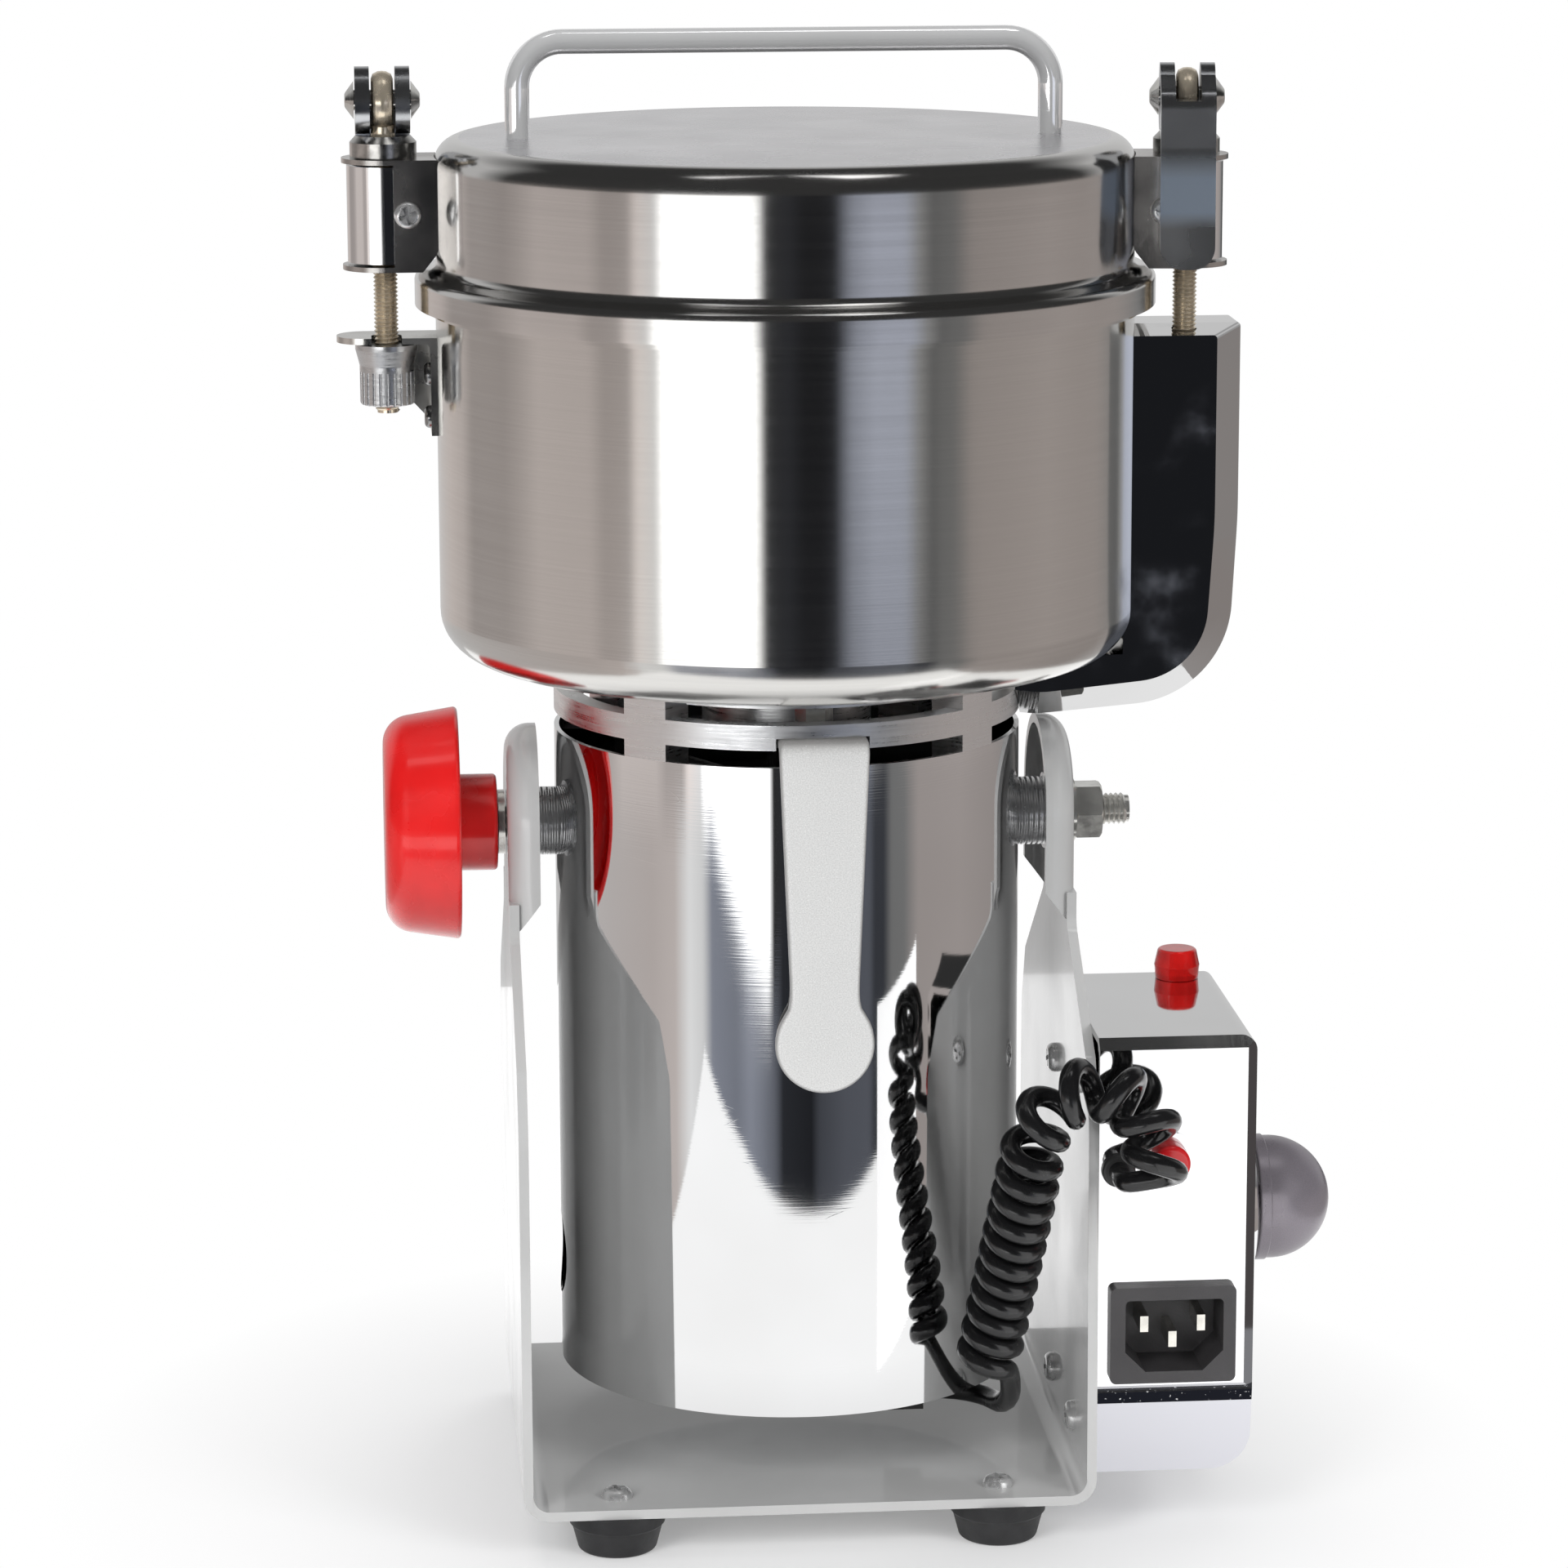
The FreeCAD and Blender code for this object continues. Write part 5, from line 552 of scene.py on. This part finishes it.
def spline_object(name, points):
    """A NURBS line of order 3 with these control points."""
    data = bpy.data.curves.new(name, "CURVE")
    data.dimensions = "3D"
    line = data.splines.new("NURBS")
    line.points.add(len(points) - 1)
    for place, point in zip(line.points, points):
        place.co = (*point, 1.0)
    line.order_u = 3
    line.use_endpoint_u = True
    line.resolution_u = 12
    piece = bpy.data.objects.new(name, data)
    bpy.context.scene.collection.objects.link(piece)
    return piece


def points_along(piece):
    """The line of a curve object, as its evaluated points."""
    bpy.context.view_layer.update()
    mesh = bpy.data.meshes.new_from_object(piece.evaluated_get(bpy.context.evaluated_depsgraph_get()))
    points = [v.co.copy() for v in mesh.vertices]
    bpy.data.meshes.remove(mesh)
    return points


def eased(t):
    t = max(0.0, min(1.0, t))
    return t * t * (3 - 2 * t)


def curl_pitch(length):
    return ARCH_PITCH + (CURL_PITCH - ARCH_PITCH) * eased((length - ARCH_LENGTH) / PITCH_BLEND)


def curl_points(around=16):
    """Points of the curls, wound about the axis line, with the pitch easing from the arch to the drop."""
    guide = spline_object("coil_axis", COIL_AXIS)
    line = points_along(guide)
    bpy.data.objects.remove(guide)
    lengths = [0.0]
    for a, b in zip(line[:-1], line[1:]):
        lengths.append(lengths[-1] + (b - a).length)
    steps = 4000
    step = lengths[-1] / steps
    spots, tangents = [], []
    i = 0
    for k in range(steps + 1):
        at = min(k * step, lengths[-1])
        while i < len(lengths) - 2 and lengths[i + 1] < at:
            i += 1
        share = (at - lengths[i]) / (lengths[i + 1] - lengths[i])
        spots.append(line[i].lerp(line[i + 1], share))
        before, after = line[max(i - 1, 0)], line[min(i + 2, len(line) - 1)]
        near = (line[i + 1] - before).normalized().lerp((after - line[i]).normalized(), share)
        tangents.append(near.normalized())
    winds = [0.0]
    for k in range(steps):
        winds.append(winds[-1] + step / curl_pitch((k + 0.5) * step))
    reach = CURL_RADIUS / math.cos(math.pi / around)
    side = Vector((1, 0, 0))
    curls = []
    count = int(CURL_TURNS * around)
    k = 0
    marks = {}
    for n in range(count + 1):
        while k < steps and winds[k] < winds[-1] * n / count:
            k += 1
        marks[k] = n
    for k in range(steps + 1):
        side = (side - tangents[k] * side.dot(tangents[k])).normalized()
        if k in marks:
            angle = math.pi / 2 - math.tau * CURL_TURNS * winds[k] / winds[-1]
            up = tangents[k].cross(side)
            curls.append(spots[k] + (side * math.cos(angle) + up * math.sin(angle)) * reach)
    return curls


def make_cord():
    """One wire: straight out of the box, round the curls, and under the motor."""
    start = Vector(CORD_START)
    out = Vector((0, -1, 0))
    curls = curl_points()
    lead = [start + out * share * CORD_DIA for share in CORD_LEAD]
    points = lead + curls + [Vector(p) for p in CORD_TAIL] + [Vector(CORD_END)]
    cord = spline_object("curly_cord_wire", points)
    line = points_along(cord)
    cord.data.resolution_u = 3
    cord.data.bevel_depth = CORD_DIA / 2
    cord.data.bevel_resolution = 5
    cord.data.use_fill_caps = True
    cord.data.materials.append(FINISHES["cord_black"].material)
    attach(cord, "stand")
    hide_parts("curly_cord")


class Tree:
    """A geometry tree with named sizes, grown into plain points and faces."""

    def __init__(self, name, **sizes):
        self.group = bpy.data.node_groups.new(name, "GeometryNodeTree")
        self.sockets = {}
        for label, value in sizes.items():
            socket = self.group.interface.new_socket(label, in_out="INPUT", socket_type="NodeSocketFloat")
            socket.default_value = value
            self.sockets[label] = socket.identifier
        self.group.interface.new_socket("Geometry", in_out="OUTPUT", socket_type="NodeSocketGeometry")
        self.size = self.group.nodes.new("NodeGroupInput").outputs

    def add(self, kind, inputs, **settings):
        node = self.group.nodes.new(kind)
        for key, value in settings.items():
            setattr(node, key, value)
        for key, value in inputs.items():
            for item in value if isinstance(value, list) else [value]:
                if isinstance(item, bpy.types.NodeSocket):
                    self.group.links.new(item, node.inputs[key])
                else:
                    node.inputs[key].default_value = item
        return node.outputs[0]

    def math(self, way, a, b):
        return self.add("ShaderNodeMath", {0: a, 1: b}, operation=way)

    def finish(self, geometry, slot):
        whole = self.add("GeometryNodeRealizeInstances", {"Geometry": geometry})
        finish = FINISHES[slot].material
        dressed = self.add("GeometryNodeSetMaterial", {"Geometry": whole, "Material": finish})
        end = self.group.nodes.new("NodeGroupOutput")
        self.group.links.new(dressed, end.inputs["Geometry"])
        return self

    def grown(self, **sizes):
        holder = bpy.data.objects.new(self.group.name, bpy.data.meshes.new(self.group.name))
        bpy.context.scene.collection.objects.link(holder)
        modifier = holder.modifiers.new("tree", "NODES")
        modifier.node_group = self.group
        for label, value in sizes.items():
            modifier[self.sockets[label]] = value
        bpy.context.view_layer.update()
        mesh = bpy.data.meshes.new_from_object(holder.evaluated_get(bpy.context.evaluated_depsgraph_get()))
        shape = [v.co.copy() for v in mesh.vertices], [tuple(f.vertices) for f in mesh.polygons]
        bpy.data.objects.remove(holder)
        bpy.data.meshes.remove(mesh)
        return shape


def thread_tree(slot):
    """A threaded rod along +Z: a ridge that winds round a core."""
    tree = Tree("thread", Diameter=0.006, Pitch=0.001, Length=0.05, Depth=0.0005)
    dia, pitch, length, depth = (tree.size[key] for key in ("Diameter", "Pitch", "Length", "Depth"))
    core = tree.math("SUBTRACT", tree.math("MULTIPLY", dia, 0.5), depth)
    ridge = tree.math("MULTIPLY", pitch, 0.49)
    run = tree.math("SUBTRACT", length, pitch)
    radius = tree.math("SUBTRACT", tree.math("MULTIPLY", dia, 0.5), ridge)
    lift = tree.add("ShaderNodeCombineXYZ", {"Z": tree.math("MULTIPLY", length, 0.5)})
    rod = tree.add("GeometryNodeMeshCylinder", {"Vertices": 40, "Radius": core, "Depth": length})
    rod = tree.add("GeometryNodeTransform", {"Geometry": rod, "Translation": lift})
    line = tree.add("GeometryNodeCurveSpiral", {
        "Resolution": 28, "Rotations": tree.math("DIVIDE", run, pitch), "Start Radius": radius,
        "End Radius": radius, "Height": run, "Reverse": True})
    line = tree.add("GeometryNodeSetCurveNormal", {"Curve": line}, mode="Z_UP")
    edge = tree.add("GeometryNodeCurvePrimitiveCircle", {"Resolution": 4, "Radius": ridge})
    wound = tree.add("GeometryNodeCurveToMesh", {"Curve": line, "Profile Curve": edge, "Fill Caps": True})
    start = tree.add("ShaderNodeCombineXYZ", {"Z": tree.math("MULTIPLY", pitch, 0.5)})
    wound = tree.add("GeometryNodeTransform", {"Geometry": wound, "Translation": start})
    return tree.finish(tree.add("GeometryNodeJoinGeometry", {"Geometry": [rod, wound]}), slot)


def placed(shape, place):
    points, faces = shape
    return [place @ Vector(p) for p in points], faces


def together(shapes):
    points, faces = [], []
    for shape_points, shape_faces in shapes:
        first = len(points)
        points.extend(shape_points)
        faces.extend(tuple(i + first for i in face) for face in shape_faces)
    return points, faces


def lathe(outline, around=40):
    """Closed turned shape about Z; the outline runs from the axis to the axis as (radius, z)."""
    inner = outline[1:-1]
    points, faces = [], []
    for radius, z in inner:
        for k in range(around):
            angle = math.tau * k / around
            points.append((radius * math.cos(angle), radius * math.sin(angle), z))
    rows = len(inner)
    for i in range(rows - 1):
        for k in range(around):
            a, b = i * around + k, i * around + (k + 1) % around
            faces.append((a, b, b + around, a + around))
    points.append((0, 0, outline[0][1]))
    points.append((0, 0, outline[-1][1]))
    bottom, top = len(points) - 2, len(points) - 1
    for k in range(around):
        faces.append((bottom, (k + 1) % around, k))
        faces.append((top, (rows - 1) * around + k, (rows - 1) * around + (k + 1) % around))
    return points, faces


def make_eye_bolts():
    """Nickel eye bolts: a domed eye on a neck, and a thread down to the tip."""
    thread = thread_tree("bolt_nickel")
    neck_radius = BOLT_DIA / 2 - BOLT_EASE
    neck = [(0.0, BOLT_THREAD_TOP), (neck_radius - BOLT_EASE, BOLT_THREAD_TOP),
            (neck_radius, BOLT_THREAD_TOP + NECK_BEVEL), (neck_radius, NECK_SIDE_TOP), (0.0, NECK_TIP)]
    eye_flat = Matrix.Translation((0, 0, EYE_Z)) @ Matrix.Rotation(math.pi / 2, 4, "Y")
    shapes = []
    for x, y, low, turn in BOLT_PLACES:
        place = Matrix.Translation((x, y, 0)) @ Matrix.Rotation(math.radians(turn), 4, "Z")
        length = BOLT_THREAD_TOP - low
        rod = thread.grown(Diameter=BOLT_DIA, Pitch=BOLT_PITCH, Length=length, Depth=BOLT_DEPTH)
        shapes.append(placed(rod, place @ Matrix.Translation((0, 0, low))))
        shapes.append(placed(lathe(neck), place))
        shapes.append(placed(lathe(EYE_OUTLINE), place @ eye_flat))
    bolts = piece_from("eye_bolts_threaded", *together(shapes), "bolt_nickel")
    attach(bolts, "lid")
    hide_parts("eye_bolts")


def make_pivot_studs():
    """The two studs with their threads, from inside the motor to their tips."""
    thread = thread_tree("stud_zinc")
    shapes = []
    for start, end in STUD_RUNS:
        outwards = math.copysign(math.pi / 2, end)
        place = Matrix.Translation((start, 0, PIVOT_Z)) @ Matrix.Rotation(outwards, 4, "Y")
        rod = thread.grown(Diameter=STUD_DIA, Pitch=STUD_PITCH, Length=abs(end - start), Depth=STUD_DEPTH)
        shapes.append(placed(rod, place))
    studs = piece_from("pivot_studs_threaded", *together(shapes), "stud_zinc")
    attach(studs, "grinder")
    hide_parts("pivot_studs")


def rounded(corners, steps=10, guard=0.00015):
    """The line through (radius, height) corners; a third number rounds a corner.

    A point close by each end of an arc keeps the flats beside it flat.
    """
    line = [Vector(corners[0][:2])]
    for before, corner, after in zip(corners, corners[1:], corners[2:]):
        here = Vector(corner[:2])
        if len(corner) < 3:
            line.append(here)
            continue
        back = (Vector(before[:2]) - here).normalized()
        ahead = (Vector(after[:2]) - here).normalized()
        half = back.angle(ahead) / 2
        run = corner[2] / math.tan(half)
        centre = here + (back + ahead).normalized() * corner[2] / math.sin(half)
        first, last = here + back * run - centre, here + ahead * run - centre
        whole = first.angle(last)
        line.append(centre + first + back * guard)
        for k in range(steps + 1):
            t = k / steps
            spoke = first * math.sin((1 - t) * whole) + last * math.sin(t * whole)
            line.append(centre + spoke / math.sin(whole))
        line.append(centre + last + ahead * guard)
    line.append(Vector(corners[-1][:2]))
    return [tuple(p) for p in line]


def make_lid():
    """The drawn lid: flat top, straight side, a short flare and the lip over the drum's rim."""
    side, lip, wall = LID_SIDE_RADIUS, LID_LIP_RADIUS, LID_WALL
    outline = rounded([
        (0.0, LID_TOP - wall), (side - wall, LID_TOP - wall, LID_INNER_SHOULDER),
        (side - wall, LID_FLARE_HIGH - LID_INNER_DROP, LID_INNER_FLARE_ROUND),
        (lip - wall, LID_FLARE_LOW - LID_INNER_DROP, LID_INNER_FLARE_ROUND),
        (lip - wall, LID_LOW), (lip, LID_LOW),
        (lip, LID_FLARE_LOW, LID_FLARE_ROUND), (side, LID_FLARE_HIGH, LID_FLARE_ROUND),
        (side, LID_TOP, LID_SHOULDER), (0.0, LID_TOP),
    ])
    lid = piece_from("lid_drawn", *lathe(outline, 192), "lid_steel")
    # The flat top has its own satin steel without a grain direction, its tone painted paler than the side's
    # to stand for the light it catches.
    lid.data.materials.append(satin_steel("lid_top_satin_painted_pale", (0.92, 0.91, 0.93), 0.26, 0.29).material)
    for face in lid.data.polygons:
        face.material_index = int(face.center.z > LID_TOP - 0.00002)
    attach(lid, "lid")
    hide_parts("lid_shell")


def strap_section(half, corner_steps=5):
    """Side, half-breadth, inset and depth of the points round one section of the strap."""
    quarter = math.pi / 2 / corner_steps
    right = [(half, STRAP_EDGE * (1 - math.sin(k * quarter)), STRAP_EDGE * (1 - math.cos(k * quarter)))
             for k in range(corner_steps + 1)]
    right += [(half, 0.0, STRAP_THICK - STRAP_BACK_EDGE), (half, STRAP_BACK_EDGE, STRAP_THICK)]
    return [(1, *spot) for spot in right] + [(-1, *spot) for spot in reversed(right)]


def strap_half(z):
    """Half-breadth of the strap's plate: a taper that widens smoothly into the round end."""
    run = STRAP_TOP - STRAP_BEND - STRAP_NECK_Z
    blade = STRAP_LOW_HALF + (STRAP_TOP_HALF - STRAP_LOW_HALF) * max(0.0, z - STRAP_NECK_Z) / run
    rise = z - STRAP_ROUND_Z
    if rise >= STRAP_ROUND_RADIUS:
        return blade
    cap = math.sqrt(STRAP_ROUND_RADIUS ** 2 - rise ** 2)
    soft = STRAP_FILLET * eased(rise / STRAP_FILLET_RISE)
    return (blade + cap + math.hypot(blade - cap, soft)) / 2


def strap_rows(bend_steps=8, plate_steps=40, round_steps=18):
    """Sections from the tab over the bend and down the plate to the tip of the round end."""
    rows = []
    bend_y, bend_z = STRAP_FACE + STRAP_BEND, STRAP_TOP - STRAP_BEND
    top = strap_section(STRAP_TOP_HALF)
    for y in (STRAP_TAB_END, bend_y):
        rows.append([(side * (half - inset), y, STRAP_TOP - depth) for side, half, inset, depth in top])
    for k in range(1, bend_steps + 1):
        angle = math.pi / 2 * k / bend_steps
        rows.append([(side * (half - inset), bend_y - (STRAP_BEND - depth) * math.sin(angle),
                      bend_z + (STRAP_BEND - depth) * math.cos(angle)) for side, half, inset, depth in top])
    for k in range(1, plate_steps + 1):
        z = bend_z + (STRAP_ROUND_Z - bend_z) * k / plate_steps
        rows.append([(side * (half - inset), STRAP_FACE + depth, z)
                     for side, half, inset, depth in strap_section(strap_half(z))])
    for k in range(1, round_steps + 1):
        angle = math.pi / 2 * (1 - k / round_steps)
        rows.append([(side * (half - inset) * math.sin(angle), STRAP_FACE + depth,
                      STRAP_ROUND_Z - (half - inset) * math.cos(angle))
                     for side, half, inset, depth in strap_section(STRAP_ROUND_RADIUS)])
    return rows


def make_strap():
    """The front strap: a tab from the ring, a round bend, and a tapered plate down to its round end."""
    rows = strap_rows()
    count = len(rows[0])
    points = [(x + STRAP_X, y, z) for row in rows for x, y, z in row]
    faces = [tuple(reversed(range(count)))]
    for i in range(len(rows) - 1):
        for k in range(count):
            a, b = i * count + k, i * count + (k + 1) % count
            faces.append((a, b, b + count, a + count))
    strap = piece_from("front_strap_bent", points, faces, "strap_steel")
    shape = bmesh.new()
    shape.from_mesh(strap.data)
    bmesh.ops.remove_doubles(shape, verts=shape.verts, dist=1e-6)
    bmesh.ops.recalc_face_normals(shape, faces=shape.faces)
    shape.to_mesh(strap.data)
    shape.free()
    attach(strap, "grinder")
    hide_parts("front_strap")


# Studio

def make_camera():
    data = bpy.data.cameras.new("camera")
    data.lens = CAMERA_LENS
    data.sensor_width = 36.0
    data.clip_start = 0.05
    data.clip_end = 30.0
    camera = bpy.data.objects.new("camera", data)
    ahead = (CAMERA_LOOKS_AT - CAMERA_PLACE).normalized()
    level = ahead.cross(Vector((0, 0, 1))).normalized()
    lift = level.cross(ahead)
    right = level * math.cos(CAMERA_ROLL) + lift * math.sin(CAMERA_ROLL)
    up = right.cross(ahead)
    turn = Matrix((right, up, -ahead)).transposed().to_4x4()
    camera.matrix_world = Matrix.Translation(CAMERA_PLACE) @ turn
    bpy.context.scene.collection.objects.link(camera)
    bpy.context.scene.camera = camera


# Brightness and tint of the studio by direction, in degrees to the right of straight in front.
# The soft boxes stand between the low band, which holds the dark room, and the dark ceiling.
PLAIN, WARM, COOL = (1.0, 1.0, 1.0), (1.0, 0.90, 0.86), (0.90, 0.96, 1.14)
BOX_BAND = (
    (-180, 0.62, PLAIN), (-150, 0.66, WARM), (-138, 0.60, WARM), (-130, 0.40, WARM), (-110, 0.42, WARM),
    (-102, 0.52, WARM), (-93, 0.68, WARM), (-72, 0.67, WARM), (-66, 0.48, WARM), (-57, 0.50, WARM),
    (-54, 1.10, WARM), (-47, 1.00, PLAIN), (-45.5, 2.60, PLAIN), (-14.5, 2.60, PLAIN), (-11.5, 0.03, PLAIN),
    (-4, 0.035, COOL), (1, 0.012, COOL), (11, 0.012, COOL), (12.5, 0.14, COOL), (16.5, 0.52, COOL),
    (24, 0.74, COOL), (34, 0.72, COOL), (39, 0.42, PLAIN), (43.5, 0.20, PLAIN), (51, 0.22, PLAIN),
    (58, 0.42, WARM), (90, 0.48, WARM), (118, 0.40, WARM), (136, 0.24, PLAIN), (146, 0.04, PLAIN),
    (157, 0.05, PLAIN), (162, 0.60, PLAIN),
)
LOW_BAND = (
    (-180, 0.60, PLAIN), (-75, 0.55, WARM), (-62, 0.62, WARM), (-54, 0.92, PLAIN), (-47, 0.80, PLAIN),
    (-42, 0.30, COOL), (-30, 0.24, COOL), (-23, 0.32, COOL), (-18, 0.26, COOL), (-11, 0.15, COOL),
    (-7, 0.03, COOL), (7, 0.02, COOL), (11, 0.07, COOL), (24, 0.11, COOL), (36, 0.12, COOL),
    (39, 0.05, COOL), (44, 0.05, COOL), (48, 0.19, PLAIN), (55, 0.20, PLAIN), (63, 0.38, WARM),
    (90, 0.40, WARM), (125, 0.34, WARM), (180, 0.60, PLAIN),
)
CEILING_BAND = (
    (-180, 0.62, PLAIN), (-125, 0.60, PLAIN), (-108, 0.04, PLAIN), (108, 0.04, PLAIN), (125, 0.60, PLAIN),
    (180, 0.62, PLAIN),
)
# Straight above it is dark, but for one small lamp
TOP_BAND = (
    (-180, 0.04, PLAIN), (-74, 0.04, PLAIN), (-70, 1.60, PLAIN), (-52, 1.60, PLAIN), (-48, 0.04, PLAIN),
    (34, 0.04, PLAIN), (38, 2.20, PLAIN), (78, 2.20, PLAIN), (84, 0.04, PLAIN), (180, 0.04, PLAIN),
)
# Where the soft boxes end below, as the height of a view that runs down to them, and above
BOX_ENDS = ((-180, -0.215), (-42, -0.216), (-36, -0.226), (-24, -0.241), (-12, -0.250), (10, -0.204),
            (180, -0.204))
BOX_END_BLUR = 0.006
BOX_TOP, BOX_TOP_BLUR = -0.035, 0.012
# Heights of a view between which the ceiling darkens, and the lamp straight above begins
CEILING_FADE = (0.42, 0.70)
CEILING_TONE = (0.04, 0.04, 0.04, 1.0)
TOP_FADE = (0.92, 0.94)
# Light that reaches matt surfaces from all round
SOFT_TONE = (0.36, 0.363, 0.37, 1.0)
# The table's outline: its front edge from left to right, then round the back
TABLE = ((-0.36, -0.372), (-0.18, -0.371), (-0.05, -0.346), (0.034, -0.336), (0.20, -0.315), (0.33, -0.303),
         (0.27, -0.16), (0.27, 0.5), (-0.27, 0.5), (-0.27, -0.16))
# Distances over which it turns white, its glow next to the grinder, and its strength as gloss shows it
TABLE_FADE = (0.09, 0.19)
TABLE_LEAST_GLOW = 0.25
TABLE_IN_GLOSS = 1.22
# The card in front of the control box: left, right, lowest and highest edge, and its plane
CARD = (0.0765, 0.166, 0.012, 0.1115)
CARD_Y = -0.125
# Soft lamps: place, breadth and height, and power in watts
LAMPS = {
    "soft_box_left": ((-1.1, -1.5, 1.1), (0.8, 1.2), 23.0),
    "soft_box_right": ((1.3, -1.3, 0.9), (0.8, 1.2), 17.0),
    "soft_box_top": ((0.0, 0.4, 1.8), (1.4, 1.4), 13.0),
}
LAMPS_AIM = (0.0, 0.0, 0.18)


def by_direction(studio, share, stops):
    """Colours at directions, given in degrees with a brightness and a tint."""
    return studio.tint(share, *[((degrees + 180) / 360, [level * c for c in tint])
                                for degrees, level, tint in stops])


def make_world():
    """The studio: what gloss shows of it by direction and height, plain light for the rest, and white."""
    world = bpy.data.worlds.new("studio")
    bpy.context.scene.world = world
    studio = Wiring(world)
    axes = studio.add("ShaderNodeSeparateXYZ")
    studio.plug(studio.add("ShaderNodeTexCoord").outputs["Generated"], axes.inputs[0])
    height = axes.outputs["Z"]
    angle = studio.math("ARCTAN2", axes.outputs["X"], studio.math("MULTIPLY", axes.outputs["Y"], -1.0))
    share = studio.span(angle, -math.pi, math.pi)
    # A ramp holds no negative number, so the ends and the height are both lifted by one
    ends = by_direction(studio, share, [(degrees, level + 1.0, PLAIN) for degrees, level in BOX_ENDS])
    over = studio.math("SUBTRACT", studio.math("ADD", height, 1.0), ends)
    gloss = studio.mix(studio.span(over, -BOX_END_BLUR, BOX_END_BLUR), by_direction(studio, share, LOW_BAND),
                       by_direction(studio, share, BOX_BAND))
    gloss = studio.mix(studio.span(height, BOX_TOP - BOX_TOP_BLUR, BOX_TOP + BOX_TOP_BLUR), gloss,
                       by_direction(studio, share, CEILING_BAND))
    gloss = studio.mix(studio.span(height, *CEILING_FADE), gloss, CEILING_TONE)
    gloss = studio.mix(studio.span(height, *TOP_FADE), gloss, by_direction(studio, share, TOP_BAND))
    path = studio.add("ShaderNodeLightPath").outputs
    lit = studio.mix(path["Is Glossy Ray"], SOFT_TONE, gloss)
    clear = studio.math("MAXIMUM", path["Is Camera Ray"], path["Is Transmission Ray"])
    sky = studio.tree.nodes["Background"].inputs
    studio.plug(studio.mix(clear, lit, (1.0, 1.0, 1.0, 1.0)), sky["Color"])
    sky["Strength"].default_value = 1.0


def make_floor():
    """Pale table: matt by the grinder, where its shadow falls, and fading to plain white around it."""
    material = bpy.data.materials.new("table_white")
    floor = Wiring(material)
    matt = floor.tree.nodes["Principled BSDF"]
    matt.inputs["Base Color"].default_value = (0.90, 0.90, 0.90, 1.0)
    matt.inputs["Roughness"].default_value = 0.9
    matt.inputs["Specular IOR Level"].default_value = 0.0
    path = floor.add("ShaderNodeLightPath").outputs
    glow = floor.add("ShaderNodeEmission")
    floor.plug(floor.span(path["Is Glossy Ray"], 0.0, 1.0, 1.0, TABLE_IN_GLOSS), glow.inputs["Strength"])
    reach = floor.add("ShaderNodeVectorMath", operation="LENGTH")
    floor.plug(floor.add("ShaderNodeTexCoord").outputs["Object"], reach.inputs[0])
    away = floor.span(reach.outputs["Value"], *TABLE_FADE, TABLE_LEAST_GLOW)
    seen = floor.math("MAXIMUM", path["Is Camera Ray"], path["Is Glossy Ray"])
    both = floor.add("ShaderNodeMixShader")
    floor.plug(floor.math("MULTIPLY", seen, away), both.inputs["Fac"])
    floor.plug(matt.outputs[0], both.inputs[1])
    floor.plug(glow.outputs[0], both.inputs[2])
    floor.plug(both.outputs[0], floor.tree.nodes["Material Output"].inputs["Surface"])
    make_board("table", [(x, y, 0) for x, y in TABLE], material)


def make_card():
    """A small white card close in front of the control box, for its polished face alone."""
    card = bpy.data.materials.new("card_white")
    card.use_nodes = True
    white = card.node_tree.nodes["Principled BSDF"].inputs
    white["Base Color"].default_value = (0.9, 0.9, 0.9, 1.0)
    white["Emission Color"].default_value = (1.0, 1.0, 1.0, 1.0)
    white["Emission Strength"].default_value = 1.0
    left, right, low, high = CARD
    corners = ((left, low), (right, low), (right, high), (left, high))
    board = make_board("card", [(x, CARD_Y, z) for x, z in corners], card)
    board.visible_camera = False
    board.visible_diffuse = False
    board.visible_shadow = False


def make_board(name, corners, material):
    mesh = bpy.data.meshes.new(name)
    mesh.from_pydata(corners, [], [tuple(range(len(corners)))])
    mesh.materials.append(material)
    board = bpy.data.objects.new(name, mesh)
    bpy.context.scene.collection.objects.link(board)
    return board


def make_lamp(name, place, size, power):
    data = bpy.data.lights.new(name, "AREA")
    data.shape = "RECTANGLE"
    data.size, data.size_y = size
    data.energy = power
    lamp = bpy.data.objects.new(name, data)
    direction = Vector(LAMPS_AIM) - Vector(place)
    lamp.matrix_world = Matrix.Translation(place) @ direction.to_track_quat("-Z", "Y").to_matrix().to_4x4()
    lamp.visible_glossy = False
    bpy.context.scene.collection.objects.link(lamp)


def make_studio():
    make_world()
    make_floor()
    make_card()
    for name, (place, size, power) in LAMPS.items():
        make_lamp(name, place, size, power)


dress_the_frame()
make_camera()
make_studio()
make_cord()
make_lid()
make_eye_bolts()
make_pivot_studs()
make_strap()

bpy.context.scene.view_settings.view_transform = "Standard"
